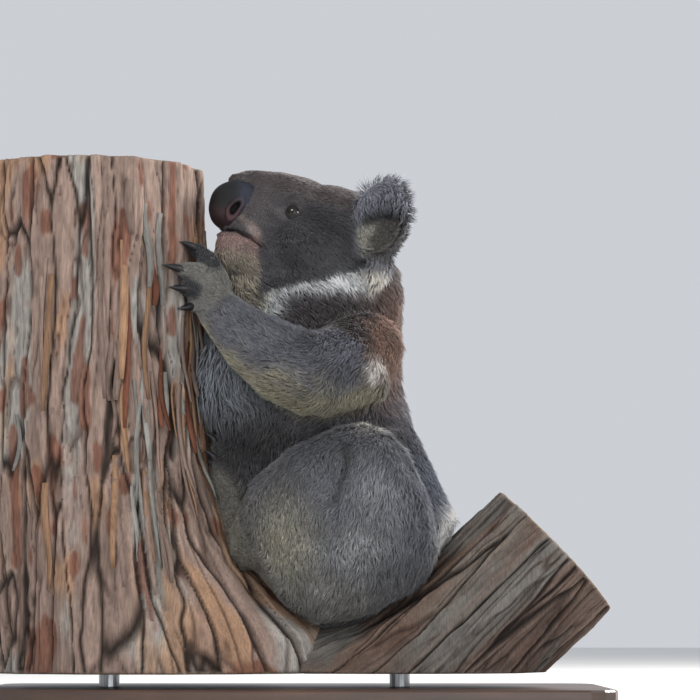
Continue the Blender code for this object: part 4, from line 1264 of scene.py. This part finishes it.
def bark_ribbons(trunk, material):
    """Thin strips that peel off the trunk and hang down its sides, most of them under the koala's hands."""
    points, triangles = mesh_arrays(trunk.data)
    surface = BVHTree.FromPolygons(points.tolist(), triangles.tolist())
    animal, _ = tree_of(*FLESH)
    draws = np.random.default_rng(77)
    strips = []
    while len(strips) < RIBBONS:
        strip = ribbon(draws, surface, animal)
        strips += [strip] if strip else []
    places, tones = zip(*strips)
    ends = np.array([(3, 2, 1, 0), np.arange(4) + 4 * (RIBBON_ROWS - 1)])
    faces = np.concatenate([grid_faces(RIBBON_ROWS, 4), ends])
    everything = (faces[None] + 4 * RIBBON_ROWS * np.arange(RIBBONS)[:, None, None]).reshape(-1, 4)
    mesh = new_mesh("bark_ribbons", np.concatenate(places), everything)
    close(mesh)
    paint(mesh, np.concatenate(tones))
    return new_object(mesh, material)


# ---------------- the whole

# name, place, aim, size, power and colour
LIGHTS = (
    ("key", (-1.3, -2.2, 2.3), (0, 0, 0.35), 1.2, 52, (1.0, 0.97, 0.93)),
    ("fill", (0.5, -2.6, 0.35), (0.05, 0, 0.2), 1.4, 16, (0.95, 0.97, 1.0)),
    ("rim", (1.7, 0.8, 1.5), (0.1, 0, 0.3), 0.8, 80, (1.0, 0.97, 0.92)),
    ("side", (1.7, -1.1, 0.7), (0.14, 0, 0.2), 0.7, 13, (1.0, 0.98, 0.95)),
)
CAMERA_PLACE, CAMERA_AIM = (0.057, -3.0, 0.08), (0.057, 0, 0.373)
SENSOR, VIEW_WIDTH = 36, 0.756  # sensor in mm, and how much shows at the koala's distance


def make_koala():
    skin = make_skin()
    colours = coat_colours(skin)
    mesh = new_mesh("skin", skin.points, skin.triangles)
    obj, skin.uv = unwrap(mesh)
    lips = bell(from_mouth(skin.points), 0, 0.0016) * skin.soft["head"]
    colours = blend(colours, LIDS, skin.lid * 0.9, LIP_LINE, lips)
    # the skin is painted darker than the coat, as the shade under the coat
    paint(mesh, colours * SKIN_SHADE_UNDER_COAT)
    mesh.materials.append(skin_material())
    open_eyes(mesh)
    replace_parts(obj, *FLESH)
    pieces = [obj, make_nose(nose_material())]
    eye, claw = eye_material(), claw_material()
    pieces += [make_eye(side, eye) for side in SIDES]
    pieces += [make_claw(name, claw) for name in CLAWS]
    return pieces + grow_coat(skin, colours, coat_material())


def make_perch():
    material = bark_material()
    # one bark for both, painted darker as shade: a little on the trunk and much more on the limb
    trunk = wood_piece("trunk_bark", "perch_trunk", TRUNK, 0.80, 0.8, 50, material)
    limb = wood_piece("limb_bark", "perch_limb", LIMB, 0.37, 0.25, 70, material)
    return [trunk, limb, bark_ribbons(trunk, material)]


def finish_stand():
    wood, steel = stand_wood_material(), stand_steel_material()
    for node, material in (("stand_base", wood), ("stand_rod_trunk", steel), ("stand_rod_limb", steel)):
        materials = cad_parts[node].data.materials
        materials.clear()
        materials.append(material)


def aimed(data, place, aim):
    """The object of a light or a camera, which looks from a place to another."""
    obj = bpy.data.objects.new(data.name, data)
    obj.location = place
    obj.rotation_euler = (Vector(aim) - Vector(place)).to_track_quat("-Z", "Y").to_euler()
    bpy.context.scene.collection.objects.link(obj)
    return obj


def make_studio():
    corners = np.array([(-6.0, -6.0, 0), (6, -6, 0), (6, 6, 0), (-6, 6, 0)])
    new_object(new_mesh("floor", corners, np.array([[0, 1, 2, 3]])), floor_material())
    scene = bpy.context.scene
    scene.world = bpy.data.worlds.new("studio")
    scene.world.use_nodes = True
    sky = scene.world.node_tree.nodes["Background"].inputs
    sky["Color"].default_value = (0.80, 0.83, 0.88, 1)
    sky["Strength"].default_value = 0.75
    for name, place, aim, size, power, colour in LIGHTS:
        light = bpy.data.lights.new(name, "AREA")
        light.shape = "DISK"
        light.size, light.energy, light.color = size, power, colour
        aimed(light, place, aim)
    scene.view_settings.view_transform = "Standard"


def make_camera():
    camera = bpy.data.cameras.new("camera")
    camera.sensor_width = SENSOR
    camera.lens = SENSOR * math.dist(CAMERA_PLACE, CAMERA_AIM) / VIEW_WIDTH
    bpy.context.scene.camera = aimed(camera, CAMERA_PLACE, CAMERA_AIM)


def main():
    make_camera()
    make_studio()
    finish_stand()
    for piece in make_perch() + make_koala():
        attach(piece, "root")


main()
